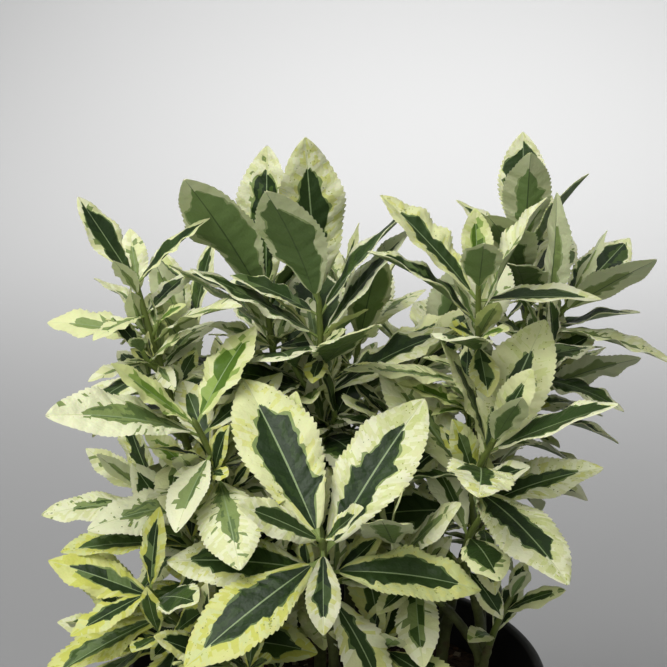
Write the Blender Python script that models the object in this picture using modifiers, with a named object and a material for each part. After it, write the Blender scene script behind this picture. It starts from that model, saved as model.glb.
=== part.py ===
"""A variegated Japanese spindle, an evergreen shrub with toothed, cream-edged leaves, in a round nursery pot.

Several rooted cuttings share the pot. Each shoot is one smooth curve from the soil, or from the shoot that
carries it, up to its growing tip. Its bare lower part is a limb of its own, and its upper part is a twig with
leaves in opposite pairs, each pair a quarter turn from the last. Units are metres, +Z up, and the origin is
the centre of the pot's flat underside.
"""

import math
import random
from typing import NamedTuple

import bmesh
import bpy
import numpy as np
from mathutils.bvhtree import BVHTree

MM = 0.001
UP = np.array([0.0, 0.0, 1.0])

# The pot: a thin-walled nursery pot, 190 mm over its rim
POT_HEIGHT = 150 * MM
RIM_RADIUS = 95 * MM
RIM_DEPTH = 13 * MM
RIM_PROUD = 2.6 * MM
FOOT_RADIUS = 66 * MM
POT_WALL = 1.8 * MM
BASE_RISE = 2.5 * MM
BASE_PAD_RADIUS = 20 * MM
DRAIN_COUNT = 6
DRAIN_RADIUS = 5 * MM
DRAIN_CIRCLE = 46 * MM
DRAIN_TURN = 13
DRAIN_SIDES = 8
POT_SIDES = 40
EDGE_EASE = 0.8 * MM
LIP_EASE = 1.2 * MM
COLLAR_TAPER = 1.6 * MM
FOOT_RING_WIDTH = 5 * MM
FOOT_RING_SLOPE = 3 * MM
PAD_SLOPE = 2 * MM

# The growing medium and the gap that neighbouring pieces keep
SOIL_BELOW_RIM = 22 * MM
SOIL_TOP = POT_HEIGHT - SOIL_BELOW_RIM
SOIL_SHY = 0.3 * MM
SOIL_FOOT_TAPER = 1 * MM
SOIL_OPEN_RADIUS = 5 * MM
GAP = 0.3 * MM

# Limbs and twigs
STEM_RADIUS = 2.9 * MM
BOUGH_RADIUS = 2.1 * MM
TWIG_RADIUS = 1.7 * MM
APEX_RADIUS = 1.2 * MM
ROOT_FLARE = 1.35
FLARE_HEIGHT = 7 * MM
STEM_POINTS = 5
BOUGH_POINTS = 4
TWIG_POINTS = 4
BOW = 0.36
CARRIER_PULL = 0.55
LEAST_LIMB = 14 * MM
BARE_BELOW_PAIRS = 3 * MM
SADDLE_GAP = 0.4 * MM

# Pairs of leaves: their clearance from the twig's two ends, and how much closer they stand towards its tip
TIP_MARGIN = 1.5 * MM
FOOT_MARGIN = 4 * MM
CROWDING = 1.5

# How a leaf changes from the growing tip, age 0, to the foot of the leafy part, age 1; angles in degrees
FIRST_OPENING = 12
OPENING_GAIN = 70
OPENING_CURVE = 0.85
FIRST_ARCH = 4
ARCH_GAIN = 30
GROWING_CURVE = 6
OLD_SHRINK = 0.18
LEAST_OPENING = 8
MOST_OPENING = 112

# What a leaf's upper surface turns to: along its twig, to the sky and away from its own side
FACE_ALONG = 0.75
FACE_UP = 0.45
FACE_AWAY = 0.15

# Leaves: proportions are shares of a leaf's own length
LEAF_HALF_WIDTH = 0.222
LEAF_THICK = 0.018
LEAST_THICK = 0.7 * MM
STALK_HALF_WIDTH = 0.009
STALK_END = 0.09
FULL_LEAF_RINGS = ((0.36, 0.9), (0.78, 0.86))
SMALL_LEAF_RINGS = ((0.55, 1.05),)
SMALL_LEAF = 46 * MM
LEAF_ROOM = 0.2 * MM
SHORTEST_LEAF = 17 * MM
ROOT_OFFSET = 0.5 * MM

# Corners of a leaf's rings, from its right edge over its face: places across it and shares of its thickness
RING_ACROSS = np.array([1.0, 0.0, -1.0, 0.0])
RING_LIFT = np.array([0.0, 1.0, 0.0, -1.0])
STALK_ACROSS = np.array([1.0, -1.0, 0.0])
STALK_LIFT = np.array([0.6, 0.6, -1.0])

# How a leaf that would touch its neighbours gives way: turn round the twig, opening, share of its length
GIVE_WAY = [
    (turn, opening, share)
    for share in (1.0, 0.9, 0.78, 0.64, 0.5)
    for opening in (0, -10, 10, -20, 20)
    for turn in (0, 11, -11, 22, -22)
]

# Side twigs: their lean off the twig, least and greatest length, the share where they bend up, and their age
SIDE_AHEAD = 0.8
SIDE_OUT = 0.75
SIDE_LENGTHS = (15 * MM, 24 * MM)
SIDE_BEND = 0.55
SIDE_RISE = 0.25
SIDE_AGE = 0.3

# A side twig's pairs: share of its length where the pair stands, its opening and its share of leaf length
SIDE_PAIRS = ((0.94, 26, 0.42), (0.6, 58, 0.5))


class Shoot(NamedTuple):
    """One shoot. Lengths are in millimetres and angles in degrees."""

    name: str
    carrier: str  # "soil", or the shoot that it forks from
    start: tuple  # its foot (x, y) on the soil, or (share of the carrier's limb,)
    apex: tuple  # its growing tip
    tilt: float  # how far the tip leans from upright
    heading: float  # where it leans to, from +X towards +Y
    leafy: float  # length of its leafy upper part
    pairs: int  # pairs of leaves on it
    leaf: float  # length of its longest leaf
    roll: float  # turn of its pairs round the twig
    spread: float  # how wide its leaves open
    young: float  # size of its youngest pair, as a share of its longest leaf
    side_twigs: int = 1


SHOOTS = [
    Shoot("front_low", "soil", (2, -40), (-4, -92, 255), 46, -90, 46, 5, 68, 0, 1.0, 0.5, 1),
    Shoot("crown_middle", "soil", (-6, 6), (-6, -12, 325), 8, 250, 84, 7, 66, 22, 0.9, 0.9, 2),
    Shoot("crown_left", "soil", (-28, 22), (-29, 16, 319), 10, 220, 80, 7, 66, 60, 0.95, 0.9, 1),
    Shoot("crown_right", "soil", (50, 24), (85, 50, 331), 10, 170, 80, 7, 60, 20, 0.9, 0.9, 2),
    Shoot("right_upper", "soil", (64, -20), (57, -30, 336), 10, 260, 82, 7, 60, 5, 1.1, 0.4, 2),
    Shoot("left_upper", "soil", (-36, -18), (-80, -15, 334), 12, 200, 76, 7, 50, -20, 1.1, 0.5, 2),
    Shoot("right_middle", "right_upper", (0.6,), (62, -58, 282), 34, -25, 62, 6, 66, 40, 1.1, 0.5, 0),
    Shoot("left_middle", "left_upper", (0.55,), (-54, -50, 286), 30, 200, 64, 6, 66, 10, 1.1, 0.5, 1),
    Shoot("right_low", "right_upper", (0.4,), (58, -58, 250), 34, -35, 38, 3, 54, -8, 0.95, 0.6, 0),
    Shoot("left_low", "left_upper", (0.3,), (-62, -40, 234), 42, 185, 52, 5, 60, 0, 1.0, 0.6, 1),
    Shoot("left_low_front", "left_upper", (0.14,), (-72, -70, 224), 34, 225, 50, 5, 60, 10, 1.05, 0.5, 1),
    Shoot("right_far", "crown_right", (0.75,), (104, 32, 312), 52, 10, 60, 6, 62, 80, 1.0, 0.6, 1),
    Shoot("right_back", "crown_right", (0.45,), (97, 62, 264), 62, 20, 56, 5, 60, 70, 1.0, 0.6, 1),
    Shoot("centre_back", "crown_middle", (0.5,), (12, 34, 300), 12, 60, 74, 6, 58, 30, 1.0, 0.6, 1),
    Shoot("centre_right", "crown_middle", (0.7,), (34, -8, 296), 16, -10, 66, 6, 56, 70, 1.0, 0.6, 1),
    Shoot("centre_low", "crown_middle", (0.35,), (-22, -50, 256), 34, 250, 60, 6, 50, 0, 1.0, 0.6, 1),
    Shoot("centre_low_right", "right_upper", (0.3,), (22, -62, 244), 36, -100, 56, 5, 50, 45, 1.0, 0.6, 1),
    Shoot("bottom_centre", "front_low", (0.35,), (22, -66, 198), 56, -70, 34, 4, 48, 20, 1.0, 0.6, 1),
    Shoot("bottom_right", "right_upper", (0.22,), (74, -36, 204), 24, -10, 26, 3, 32, 30, 0.45, 0.6, 0),
    Shoot("bottom_front", "front_low", (0.2,), (-46, -82, 200), 62, 225, 40, 4, 50, 0, 1.0, 0.6, 1),
    Shoot("bottom_left", "left_upper", (0.05,), (-84, -46, 190), 66, 205, 44, 4, 56, 20, 1.0, 0.6, 1),
    Shoot("back_middle", "soil", (8, 48), (4, 66, 300), 14, 90, 76, 6, 60, 15, 1.0, 0.7, 1),
    Shoot("back_left", "soil", (-42, 38), (-68, 56, 290), 26, 140, 72, 6, 60, 50, 1.0, 0.7, 1),
    Shoot("left_back_low", "back_left", (0.3,), (-84, 22, 226), 60, 170, 50, 5, 56, 20, 1.0, 0.6, 1),
    Shoot("back_right", "back_middle", (0.6,), (48, 86, 276), 46, 60, 60, 5, 58, 40, 1.0, 0.6, 1),
    Shoot("back_low", "back_middle", (0.3,), (0, 98, 226), 60, 95, 54, 5, 58, 0, 1.0, 0.6, 1),
    Shoot("back_low_left", "back_left", (0.12,), (-48, 86, 214), 60, 125, 50, 5, 56, 45, 1.0, 0.6, 1),
    Shoot("back_low_right", "crown_right", (0.15,), (60, 84, 222), 58, 55, 50, 5, 56, 30, 1.0, 0.6, 1),
]

# Leaves that are set: turn, opening, length in millimetres and twist, two to a node from the tip down
SET_LEAVES = {
    "front_low": (
        (172, 40, 42, 0),
        (15, 30, 28, 0),
        (113, 80, 80, 0),
        (-100, 104, 32, 0),
        (60, 68, 78, 0),
        (222, 82, 64, 0),
        (176, 76, 60, 0),
        (0, 80, 60, 0),
        (140, 100, 46, 0),
        (-50, 100, 50, 0),
    ),
    "crown_left": (
        (-85, 24, 72, 35),
        (110, 14, 65, 0),
        (-130, 52, 42, 0),
        (20, 30, 44, 0),
    ),
    "crown_middle": (
        (-115, 18, 60, 35),
        (120, 12, 66, 0),
        (30, 34, 56, -20),
        (-175, 58, 42, 0),
    ),
    "crown_right": (
        (-160, 8, 56, 0),
        (45, 24, 54, 0),
        (105, 28, 54, 0),
        (-75, 42, 44, 0),
    ),
    "left_upper": (
        (-140, 36, 40, 0),
        (92, 58, 38, 0),
        (-28, 22, 22, 0),
        (160, 22, 28, 0),
        (-50, 75, 30, 0),
        (130, 70, 32, 0),
    ),
    "left_low_front": (
        (90, 42, 36, 0),
        (-100, 60, 36, 0),
        (-165, 50, 46, 0),
        (15, 50, 40, 0),
        (-120, 62, 64, 20),
        (60, 60, 44, 0),
    ),
    "right_upper": (
        (105, 20, 32, 0),
        (-78, 38, 42, 0),
        (160, 44, 55, 0),
        (15, 86, 52, 0),
    ),
    "right_middle": (
        (36, 12, 33, 10),
        (212, 10, 33, 6),
        (125, 33, 56, 0),
        (306, 32, 57, -6),
        (35, 49, 65, -13),
        (211, 45, 60, 5),
        (130, 59, 63, 10),
        (305, 62, 65, -13),
        (33, 75, 59, -4),
        (209, 73, 58, -14),
        (118, 89, 56, 4),
        (290, 80, 28, 3),
    ),
    "right_low": (
        (-10, 7, 33, -9),
        (160, 11, 33, -10),
        (84, 52, 52, 0),
        (273, 43, 42, 7),
        (-21, 64, 26, -8),
        (163, 77, 44, 3),
    ),
    "left_middle": (
        (-140, 30, 44, 0),
        (100, 66, 46, 0),
        (-105, 36, 66, 30),
        (70, 80, 44, 0),
        (-60, 84, 44, 0),
        (150, 60, 40, 0),
    ),
}


class Path(NamedTuple):
    """A smooth line through space, as points and the distance of each along it."""

    points: np.ndarray
    lengths: np.ndarray

    def at(self, distance):
        return np.array([np.interp(distance, self.lengths, self.points[:, i]) for i in range(3)])

    def heading(self, distance, step=0.5 * MM):
        return unit(self.at(distance + step) - self.at(distance - step))

    def stretch(self, first, last, count):
        return [self.at(distance) for distance in np.linspace(first, last, count)]

    @property
    def length(self):
        return self.lengths[-1]


def unit(vector):
    return vector / np.linalg.norm(vector)


def leaning(tilt, heading):
    """The direction that leans by tilt from upright towards heading, both in degrees."""
    tilt, heading = math.radians(tilt), math.radians(heading)
    return np.array(
        [math.sin(tilt) * math.cos(heading), math.sin(tilt) * math.sin(heading), math.cos(tilt)]
    )


def turned(vector, axis, angle):
    """The vector turned about a unit axis by an angle in degrees, by Rodrigues' formula."""
    angle = math.radians(angle)
    cross = np.cross(axis, vector)
    along = axis * np.dot(axis, vector)
    return vector * math.cos(angle) + cross * math.sin(angle) + along * (1 - math.cos(angle))


def across(direction):
    """A unit vector at right angles to the direction, level where that can be."""
    level = np.cross(UP, direction)
    return unit(level) if np.linalg.norm(level) > 1e-3 else np.array([1.0, 0.0, 0.0])


def smooth_path(start, leave, apex, arrive, count=40):
    """A cubic Bezier curve that leaves start along leave and reaches apex along arrive."""
    reach = np.linalg.norm(apex - start)
    corners = [start, start + leave * reach * BOW, apex - arrive * reach * BOW, apex]
    t = np.linspace(0, 1, count)[:, None]
    weights = [(1 - t) ** 3, 3 * t * (1 - t) ** 2, 3 * t**2 * (1 - t), t**3]
    return line_path(sum(weight * corner for weight, corner in zip(weights, corners)))


def line_path(points):
    """A path of straight stretches through the points."""
    points = np.array(points)
    steps = np.linalg.norm(np.diff(points, axis=0), axis=1)
    return Path(points, np.concatenate([[0.0], np.cumsum(steps)]))


def leafy_from(shoot, path):
    """The distance along the path where the bare limb ends and the leafy twig begins."""
    return max(path.length - shoot.leafy * MM - BARE_BELOW_PAIRS, LEAST_LIMB)


def shoot_paths():
    """Every shoot's path by name. A carrier comes before the shoots that fork from it."""
    paths = {}
    by_name = {shoot.name: shoot for shoot in SHOOTS}
    for shoot in SHOOTS:
        apex = np.array(shoot.apex) * MM
        arrive = leaning(shoot.tilt, shoot.heading)
        if shoot.carrier == "soil":
            foot = np.array([*np.array(shoot.start) * MM, SOIL_TOP + GAP])
            leave = UP
        else:
            carrier = paths[shoot.carrier]
            distance = shoot.start[0] * leafy_from(by_name[shoot.carrier], carrier)
            foot = carrier.at(distance)
            leave = unit(carrier.heading(distance) * CARRIER_PULL + unit(apex - foot))
        paths[shoot.name] = smooth_path(foot, leave, apex, arrive)
    return paths


class Leaf(NamedTuple):
    """One leaf, by its own frame and sizes. The blade bends back by arch, in radians, from root to tip."""

    mass: str
    root: np.ndarray
    along: np.ndarray  # from the root into the blade
    face: np.ndarray  # out of the upper surface
    length: float
    arch: float
    fold: float  # how far the two halves rise from the midrib
    twist: float
    age: float  # 0 at the growing tip, 1 at the foot of the shoot
    key: str


def leaf_frame(leaf, s):
    """The midrib's point, and the side and face directions there, at shares s of the leaf's length. The
    midrib is an arc of a circle, and the blade twists evenly along it."""
    bend = leaf.arch * s
    arch = max(abs(leaf.arch), 1e-3) * (1 if leaf.arch >= 0 else -1)
    run = np.sin(arch * s) / arch
    drop = (1 - np.cos(arch * s)) / arch
    middle = leaf.root + leaf.length * (run[..., None] * leaf.along - drop[..., None] * leaf.face)
    face = np.sin(bend)[..., None] * leaf.along + np.cos(bend)[..., None] * leaf.face
    side = np.cross(leaf.face, leaf.along)
    turn = leaf.twist * s
    sideways = np.cos(turn)[..., None] * side + np.sin(turn)[..., None] * face
    outward = np.cos(turn)[..., None] * face - np.sin(turn)[..., None] * side
    return middle, sideways, outward


def leaf_point(leaf, s, u, half, lift):
    """The points at shares s along the blade and u across it, from -1 to 1, where it is half wide from its
    midrib. Each side is flat and rises from the midrib by the fold, and lift is off the blade."""
    middle, side, face = leaf_frame(leaf, s)
    rise = np.abs(u) * half * math.sin(leaf.fold) + lift
    return middle + (u * half * math.cos(leaf.fold))[..., None] * side + rise[..., None] * face


def leaf_solid(leaf, room=0.0, blade_only=False):
    """The leaf as a closed solid: a three-cornered stalk, then four-cornered rings and a point. With room it
    is that much larger all round. The upper and under surfaces are split into triangles alike, each from a
    ring's edge corner to the midrib of the next, so that a thin twisted blade stays whole."""
    thick = max(LEAF_THICK * leaf.length, LEAST_THICK) / 2 + room
    rings = FULL_LEAF_RINGS if leaf.length > SMALL_LEAF else SMALL_LEAF_RINGS
    stalk_half = leaf.length * STALK_HALF_WIDTH + room
    points = []
    for share in (STALK_END,) if blade_only else (0.0, STALK_END):
        points.append(leaf_point(leaf, np.full(3, share), STALK_ACROSS, stalk_half, STALK_LIFT * thick))
    for share, width in rings:
        half = leaf.length * LEAF_HALF_WIDTH * width + room
        points.append(leaf_point(leaf, np.full(4, share), RING_ACROSS, half, RING_LIFT * thick))
    points.append(leaf_point(leaf, np.array([1.0 + room / leaf.length]), np.zeros(1), 0.0, 0.0))
    faces = [(0, 2, 1)]
    if not blade_only:
        faces += ring_faces(0, 3)
    a = 0 if blade_only else 3
    b = a + 3
    faces += [(a, a + 1, b + 1), (a + 1, b + 2, b + 1), (a, b + 1, b)]
    faces += [(a + 1, a + 2, b + 3), (a + 1, b + 3, b + 2), (a + 2, a, b + 3), (a, b, b + 3)]
    for row in range(len(rings) - 1):
        faces += blade_faces(b + 4 * row)
    last = b + 4 * (len(rings) - 1)
    faces += [(last + i, last + (i + 1) % 4, last + 4) for i in range(4)]
    return np.concatenate(points), faces


def blade_faces(a):
    """Triangles from the four-cornered ring of a blade that starts at point a to the next ring."""
    b = a + 4
    upper = [(a, a + 1, b + 1), (a, b + 1, b), (a + 1, a + 2, b + 1), (a + 2, b + 2, b + 1)]
    under = [(a + 2, a + 3, b + 3), (a + 2, b + 3, b + 2), (a + 3, a, b + 3), (a, b, b + 3)]
    return upper + under


def ring_faces(low, count):
    """Faces from one ring of points to the next, which go round anticlockwise seen from the far end."""
    high = low + count
    return [(low + i, low + (i + 1) % count, high + (i + 1) % count, high + i) for i in range(count)]


class Room:
    """What already stands in the crown, so that a new leaf can keep clear of it."""

    def __init__(self):
        self.trees, self.masses, self.low, self.high = [], [], [], []

    def add(self, points, faces, mass):
        self.trees.append(BVHTree.FromPolygons(points.tolist(), faces))
        self.masses.append(mass)
        self.low.append(points.min(0))
        self.high.append(points.max(0))

    def blocked(self, points, faces, own=None, other_than=None):
        """True if the solid cuts anything here. own keeps to one mass, and other_than leaves one out."""
        if not self.trees:
            return False
        near = np.all(np.array(self.low) < points.max(0), 1) & np.all(np.array(self.high) > points.min(0), 1)
        tree = None
        for i in np.flatnonzero(near):
            if (own is not None and self.masses[i] != own) or self.masses[i] == other_than:
                continue
            tree = tree or BVHTree.FromPolygons(points.tolist(), faces)
            if tree.overlap(self.trees[i]):
                return True
        return False


class Twig(NamedTuple):
    """A twig of a mass: its line, of straight stretches, and the radii of its two ends."""

    mass: str
    path: Path
    first_radius: float
    last_radius: float

    def radii(self):
        return np.linspace(self.first_radius, self.last_radius, len(self.path.points))

    def shell(self):
        points = self.path.points
        return tube_shell(points, self.first_radius + LEAF_ROOM, self.last_radius + LEAF_ROOM)


def tube_shell(points, first_radius, last_radius, sides=6):
    """Points and faces of a plain tapering tube with a pointed end, used to keep leaves clear of a limb."""
    points = np.array(points)
    radii = np.linspace(first_radius, last_radius, len(points))
    shell = []
    for i, radius in enumerate(radii):
        ahead = unit(points[min(i + 1, len(points) - 1)] - points[max(i - 1, 0)])
        shell += [points[i] + radius * turned(across(ahead), ahead, 360 * k / sides) for k in range(sides)]
    faces = [tuple(reversed(range(sides)))]
    for row in range(len(points) - 1):
        faces += ring_faces(row * sides, sides)
    last = len(shell)
    faces += [(last - sides + i, last - sides + (i + 1) % sides, last) for i in range(sides)]
    return np.array(shell + [points[-1]]), faces


def twig_node(twig, age):
    """Where a pair stands on its twig, and the twig's heading there: pairs crowd towards the tip."""
    last = twig.path.length - TIP_MARGIN
    distance = last - (last - FOOT_MARGIN) * age**CROWDING
    return twig.path.at(distance), twig.path.heading(distance)


def wanted_leaf(shoot, twig, node, sidedness, draw):
    """The leaf that the shoot's rule asks for at one side of a node: with age a leaf opens, bends back and
    lengthens, and the oldest are a little shorter again."""
    age = node / (shoot.pairs - 1)
    place, axis = twig_node(twig, age)
    turn = shoot.roll + 90 * (node % 2) + 180 * sidedness + draw.uniform(-13, 13)
    opening = (FIRST_OPENING + OPENING_GAIN * age**OPENING_CURVE) * shoot.spread + draw.uniform(-6, 6)
    growing = 1 - (1 - shoot.young) * (1 - age) ** GROWING_CURVE
    length = shoot.leaf * growing * (1 - OLD_SHRINK * age**2)
    twist = None
    set_leaves = SET_LEAVES.get(shoot.name, ())
    if 2 * node < len(set_leaves):
        turn, opening, length, twist = set_leaves[2 * node + sidedness]
    return Wish(
        shoot.name,
        place,
        axis,
        turn,
        opening,
        length * MM * draw.uniform(0.93, 1.05),
        math.radians(FIRST_ARCH + ARCH_GAIN * age + draw.uniform(-8, 14)),
        math.radians(draw.uniform(8, 24)),
        math.radians(draw.uniform(-14, 14) if twist is None else twist),
        age,
        f"{shoot.name}-{node}-{sidedness}",
    )


class Wish(NamedTuple):
    """A leaf by the angles that place it on its twig."""

    mass: str
    node: np.ndarray
    axis: np.ndarray
    turn: float
    opening: float
    length: float
    arch: float
    fold: float
    twist: float
    age: float
    key: str


def leaf_from(wish, turn, opening, share):
    """The leaf of a wish, turned round the twig, opened further and shortened."""
    outward = turned(across(wish.axis), wish.axis, wish.turn + turn)
    angle = math.radians(min(max(wish.opening + opening, LEAST_OPENING), MOST_OPENING))
    along = unit(math.cos(angle) * wish.axis + math.sin(angle) * outward)
    above = wish.axis * FACE_ALONG + UP * FACE_UP - outward * FACE_AWAY
    face = unit(above - along * np.dot(above, along))
    root = wish.node + outward * ROOT_OFFSET
    return Leaf(
        wish.mass,
        root,
        along,
        face,
        wish.length * share,
        wish.arch,
        wish.fold,
        wish.twist,
        wish.age,
        wish.key,
    )


def place_leaf(wish, room, blades):
    """The first way of giving way that keeps the leaf clear of other masses and of its own mass's blades,
    or else None. A leaf is tried at full length first."""
    for turn, opening, share in GIVE_WAY:
        if wish.length * share < SHORTEST_LEAF:
            break
        leaf = leaf_from(wish, turn, opening, share)
        points, faces = leaf_solid(leaf, room=LEAF_ROOM)
        if room.blocked(points, faces, other_than=wish.mass):
            continue
        blade = leaf_solid(leaf, blade_only=True)
        if blades.blocked(*blade, own=wish.mass):
            continue
        room.add(points, faces, wish.mass)
        blades.add(*blade, wish.mass)
        return leaf
    return None


def side_twig(shoot, twig, node, draw):
    """A short side shoot from the axil of a pair, and the wishes for its own two pairs."""
    start, axis = twig_node(twig, node / (shoot.pairs - 1))
    turn = shoot.roll + 90 * (node % 2) + 180 * draw.randrange(2) + draw.uniform(-10, 10)
    outward = turned(across(axis), axis, turn)
    ahead = unit(axis * SIDE_AHEAD + outward * SIDE_OUT)
    length = draw.uniform(*SIDE_LENGTHS)
    bend = start + ahead * length * SIDE_BEND
    path = line_path([start, bend, start + unit(ahead + UP * SIDE_RISE) * length])
    side = Twig(shoot.name, path, TWIG_RADIUS * 0.75, APEX_RADIUS * 0.8)
    wishes = []
    for pair, (share, opening, size) in enumerate(SIDE_PAIRS):
        for sidedness in range(2):
            wishes.append(
                Wish(
                    shoot.name,
                    path.at(share * path.length),
                    path.heading(share * path.length),
                    turn + 90 * pair + 180 * sidedness + draw.uniform(-12, 12),
                    opening + draw.uniform(-6, 6),
                    shoot.leaf * MM * size * draw.uniform(0.85, 1.1),
                    math.radians(draw.uniform(4, 24)),
                    math.radians(draw.uniform(10, 26)),
                    math.radians(draw.uniform(-12, 12)),
                    SIDE_AGE,
                    f"{shoot.name}-side-{node}-{pair}-{sidedness}",
                )
            )
    return side, wishes


def wall_radius(height):
    """Outside radius of the pot's wall, below its rim, at a height: a straight taper."""
    top = RIM_RADIUS - RIM_PROUD
    return FOOT_RADIUS + (top - FOOT_RADIUS) * height / POT_HEIGHT


def pot_walls():
    """Rings round the pot's rim and over the soil that leaves keep clear of."""
    outside, lip, soil = RIM_RADIUS + LEAF_ROOM, POT_HEIGHT + LEAF_ROOM, SOIL_TOP + LEAF_ROOM
    inside = RIM_RADIUS - RIM_PROUD - POT_WALL
    made = []
    for low_radius, low, high_radius, high in (
        (wall_radius(0), 0.0, outside, lip),
        (outside, lip, inside, lip),
        (inside, lip, SOIL_OPEN_RADIUS, soil),
    ):
        angles = np.linspace(0, 2 * math.pi, POT_SIDES, endpoint=False)
        circle = np.stack([np.cos(angles), np.sin(angles)], 1)
        low_ring = np.column_stack([circle * low_radius, np.full(POT_SIDES, low)])
        high_ring = np.column_stack([circle * high_radius, np.full(POT_SIDES, high)])
        ends = [(i, (i + 1) % POT_SIDES) for i in range(POT_SIDES)]
        faces = [(i, j, POT_SIDES + j, POT_SIDES + i) for i, j in ends]
        made.append((np.concatenate([low_ring, high_ring]), faces))
    return made


def grow(solids_in_the_way):
    """The whole plant: each shoot's path, the twigs and the leaves. Main twigs stand first, leaves then find
    room round them, the leaves that are set and the shoots at the top of the list first, and side twigs come
    last."""
    paths = shoot_paths()
    room, blades = Room(), Room()
    for points, faces in solids_in_the_way:
        room.add(points, faces, None)
    main_twigs, twigs, leaves = {}, [], []
    for shoot in SHOOTS:
        path = paths[shoot.name]
        split = leafy_from(shoot, path)
        low = STEM_RADIUS if shoot.carrier == "soil" else BOUGH_RADIUS
        limb = path.stretch(0, split, STEM_POINTS)
        room.add(*tube_shell(limb, low + LEAF_ROOM, TWIG_RADIUS + LEAF_ROOM), None)
        line = line_path(path.stretch(split + GAP, path.length, TWIG_POINTS))
        twig = Twig(shoot.name, line, TWIG_RADIUS, APEX_RADIUS)
        room.add(*twig.shell(), shoot.name)
        main_twigs[shoot.name] = twig
        twigs.append(twig)
    draws = {shoot.name: random.Random(shoot.name) for shoot in SHOOTS}
    for set_ones in (True, False):
        for shoot in SHOOTS:
            for node in sorted(range(shoot.pairs), key=lambda node: abs(node - shoot.pairs * 0.55)):
                if (2 * node < len(SET_LEAVES.get(shoot.name, ()))) != set_ones:
                    continue
                for sidedness in range(2):
                    wish = wanted_leaf(shoot, main_twigs[shoot.name], node, sidedness, draws[shoot.name])
                    leaves.append(place_leaf(wish, room, blades))
    for shoot in SHOOTS:
        draw = random.Random("side twigs of " + shoot.name)
        for number in range(shoot.side_twigs):
            twig, wishes = side_twig(shoot, main_twigs[shoot.name], shoot.pairs - 2 - number, draw)
            if room.blocked(*twig.shell(), other_than=shoot.name):
                continue
            room.add(*twig.shell(), shoot.name)
            twigs.append(twig)
            leaves += [place_leaf(wish, room, blades) for wish in wishes]
    return paths, twigs, [leaf for leaf in leaves if leaf is not None]


def material(name, colour, roughness):
    """A Principled material in one colour."""
    made = bpy.data.materials.new(name)
    made.use_nodes = True
    shader = made.node_tree.nodes["Principled BSDF"]
    shader.inputs["Base Color"].default_value = (*colour, 1)
    shader.inputs["Roughness"].default_value = roughness
    return made


def new_object(name, mesh, collection):
    made = bpy.data.objects.new(name, mesh)
    collection.objects.link(made)
    return made


def solid_object(name, points, faces, collection):
    mesh = bpy.data.meshes.new(name)
    mesh.from_pydata([tuple(point) for point in points], [], faces)
    return new_object(name, mesh, collection)


def tube_object(name, points, radii, sides, collection):
    """A tapering tube as a poly curve with a bevel and filled caps, turned into a mesh with its caps
    welded on. sides is 4, 6 or 8."""
    curve = bpy.data.curves.new(name, "CURVE")
    curve.dimensions = "3D"
    curve.bevel_depth = 1.0
    curve.bevel_resolution = sides // 2 - 2
    curve.use_fill_caps = True
    spline = curve.splines.new("POLY")
    spline.points.add(len(points) - 1)
    for place, point, radius in zip(spline.points, points, radii):
        place.co = (*point, 1)
        place.radius = radius
    holder = new_object(name + "_curve", curve, collection)
    graph = bpy.context.evaluated_depsgraph_get()
    mesh = bpy.data.meshes.new_from_object(holder.evaluated_get(graph))
    bpy.data.objects.remove(holder)
    bm = bmesh.new()
    bm.from_mesh(mesh)
    bmesh.ops.remove_doubles(bm, verts=bm.verts, dist=1e-6)
    bmesh.ops.recalc_face_normals(bm, faces=bm.faces)
    bm.to_mesh(mesh)
    bm.free()
    mesh.name = name
    return new_object(name, mesh, collection)


def apply_boolean(target, operation, solver, operand=None, collection=None):
    """Runs one Boolean on the target and keeps its result as the target's mesh."""
    cut = target.modifiers.new(operation.title(), "BOOLEAN")
    cut.operation = operation
    cut.solver = solver
    if collection is not None:
        cut.operand_type = "COLLECTION"
        cut.collection = collection
    else:
        cut.object = operand
    graph = bpy.context.evaluated_depsgraph_get()
    result = bpy.data.meshes.new_from_object(target.evaluated_get(graph))
    target.modifiers.clear()
    target.data = result


def build_limb(shoot, path, collection, cutters, carriers, bark):
    """The bare lower part of a shoot, with an even taper. A stem stands on the soil with a flared foot, and
    a bough ends in a saddle that follows the limb that carries it, a small gap away."""
    split = leafy_from(shoot, path)
    if shoot.carrier == "soil":
        radii = np.linspace(STEM_RADIUS, TWIG_RADIUS, STEM_POINTS)
        points = path.stretch(0, split, STEM_POINTS)
        points = [points[0], points[0] + UP * FLARE_HEIGHT * 0.4, points[0] + UP * FLARE_HEIGHT] + points[1:]
        radii = np.concatenate([STEM_RADIUS * np.array([ROOT_FLARE, 1.1, 1.0]), radii[1:]])
        limb = tube_object("stem_" + shoot.name, points, radii, 6, collection)
    else:
        radii = np.linspace(BOUGH_RADIUS, TWIG_RADIUS, BOUGH_POINTS)
        points = path.stretch(0, split, BOUGH_POINTS)
        limb = tube_object("bough_" + shoot.name, points, radii, 6, collection)
        carrier_points, carrier_radii = carriers[shoot.carrier]
        cutter = tube_object("carrier_cut", carrier_points, carrier_radii + SADDLE_GAP, 6, cutters)
        apply_boolean(limb, "DIFFERENCE", "EXACT", operand=cutter)
        bpy.data.objects.remove(cutter)
        keep_main_piece(limb.data)
    carriers[shoot.name] = (points, radii)
    limb.data.materials.clear()
    limb.data.materials.append(bark)
    return limb


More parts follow.
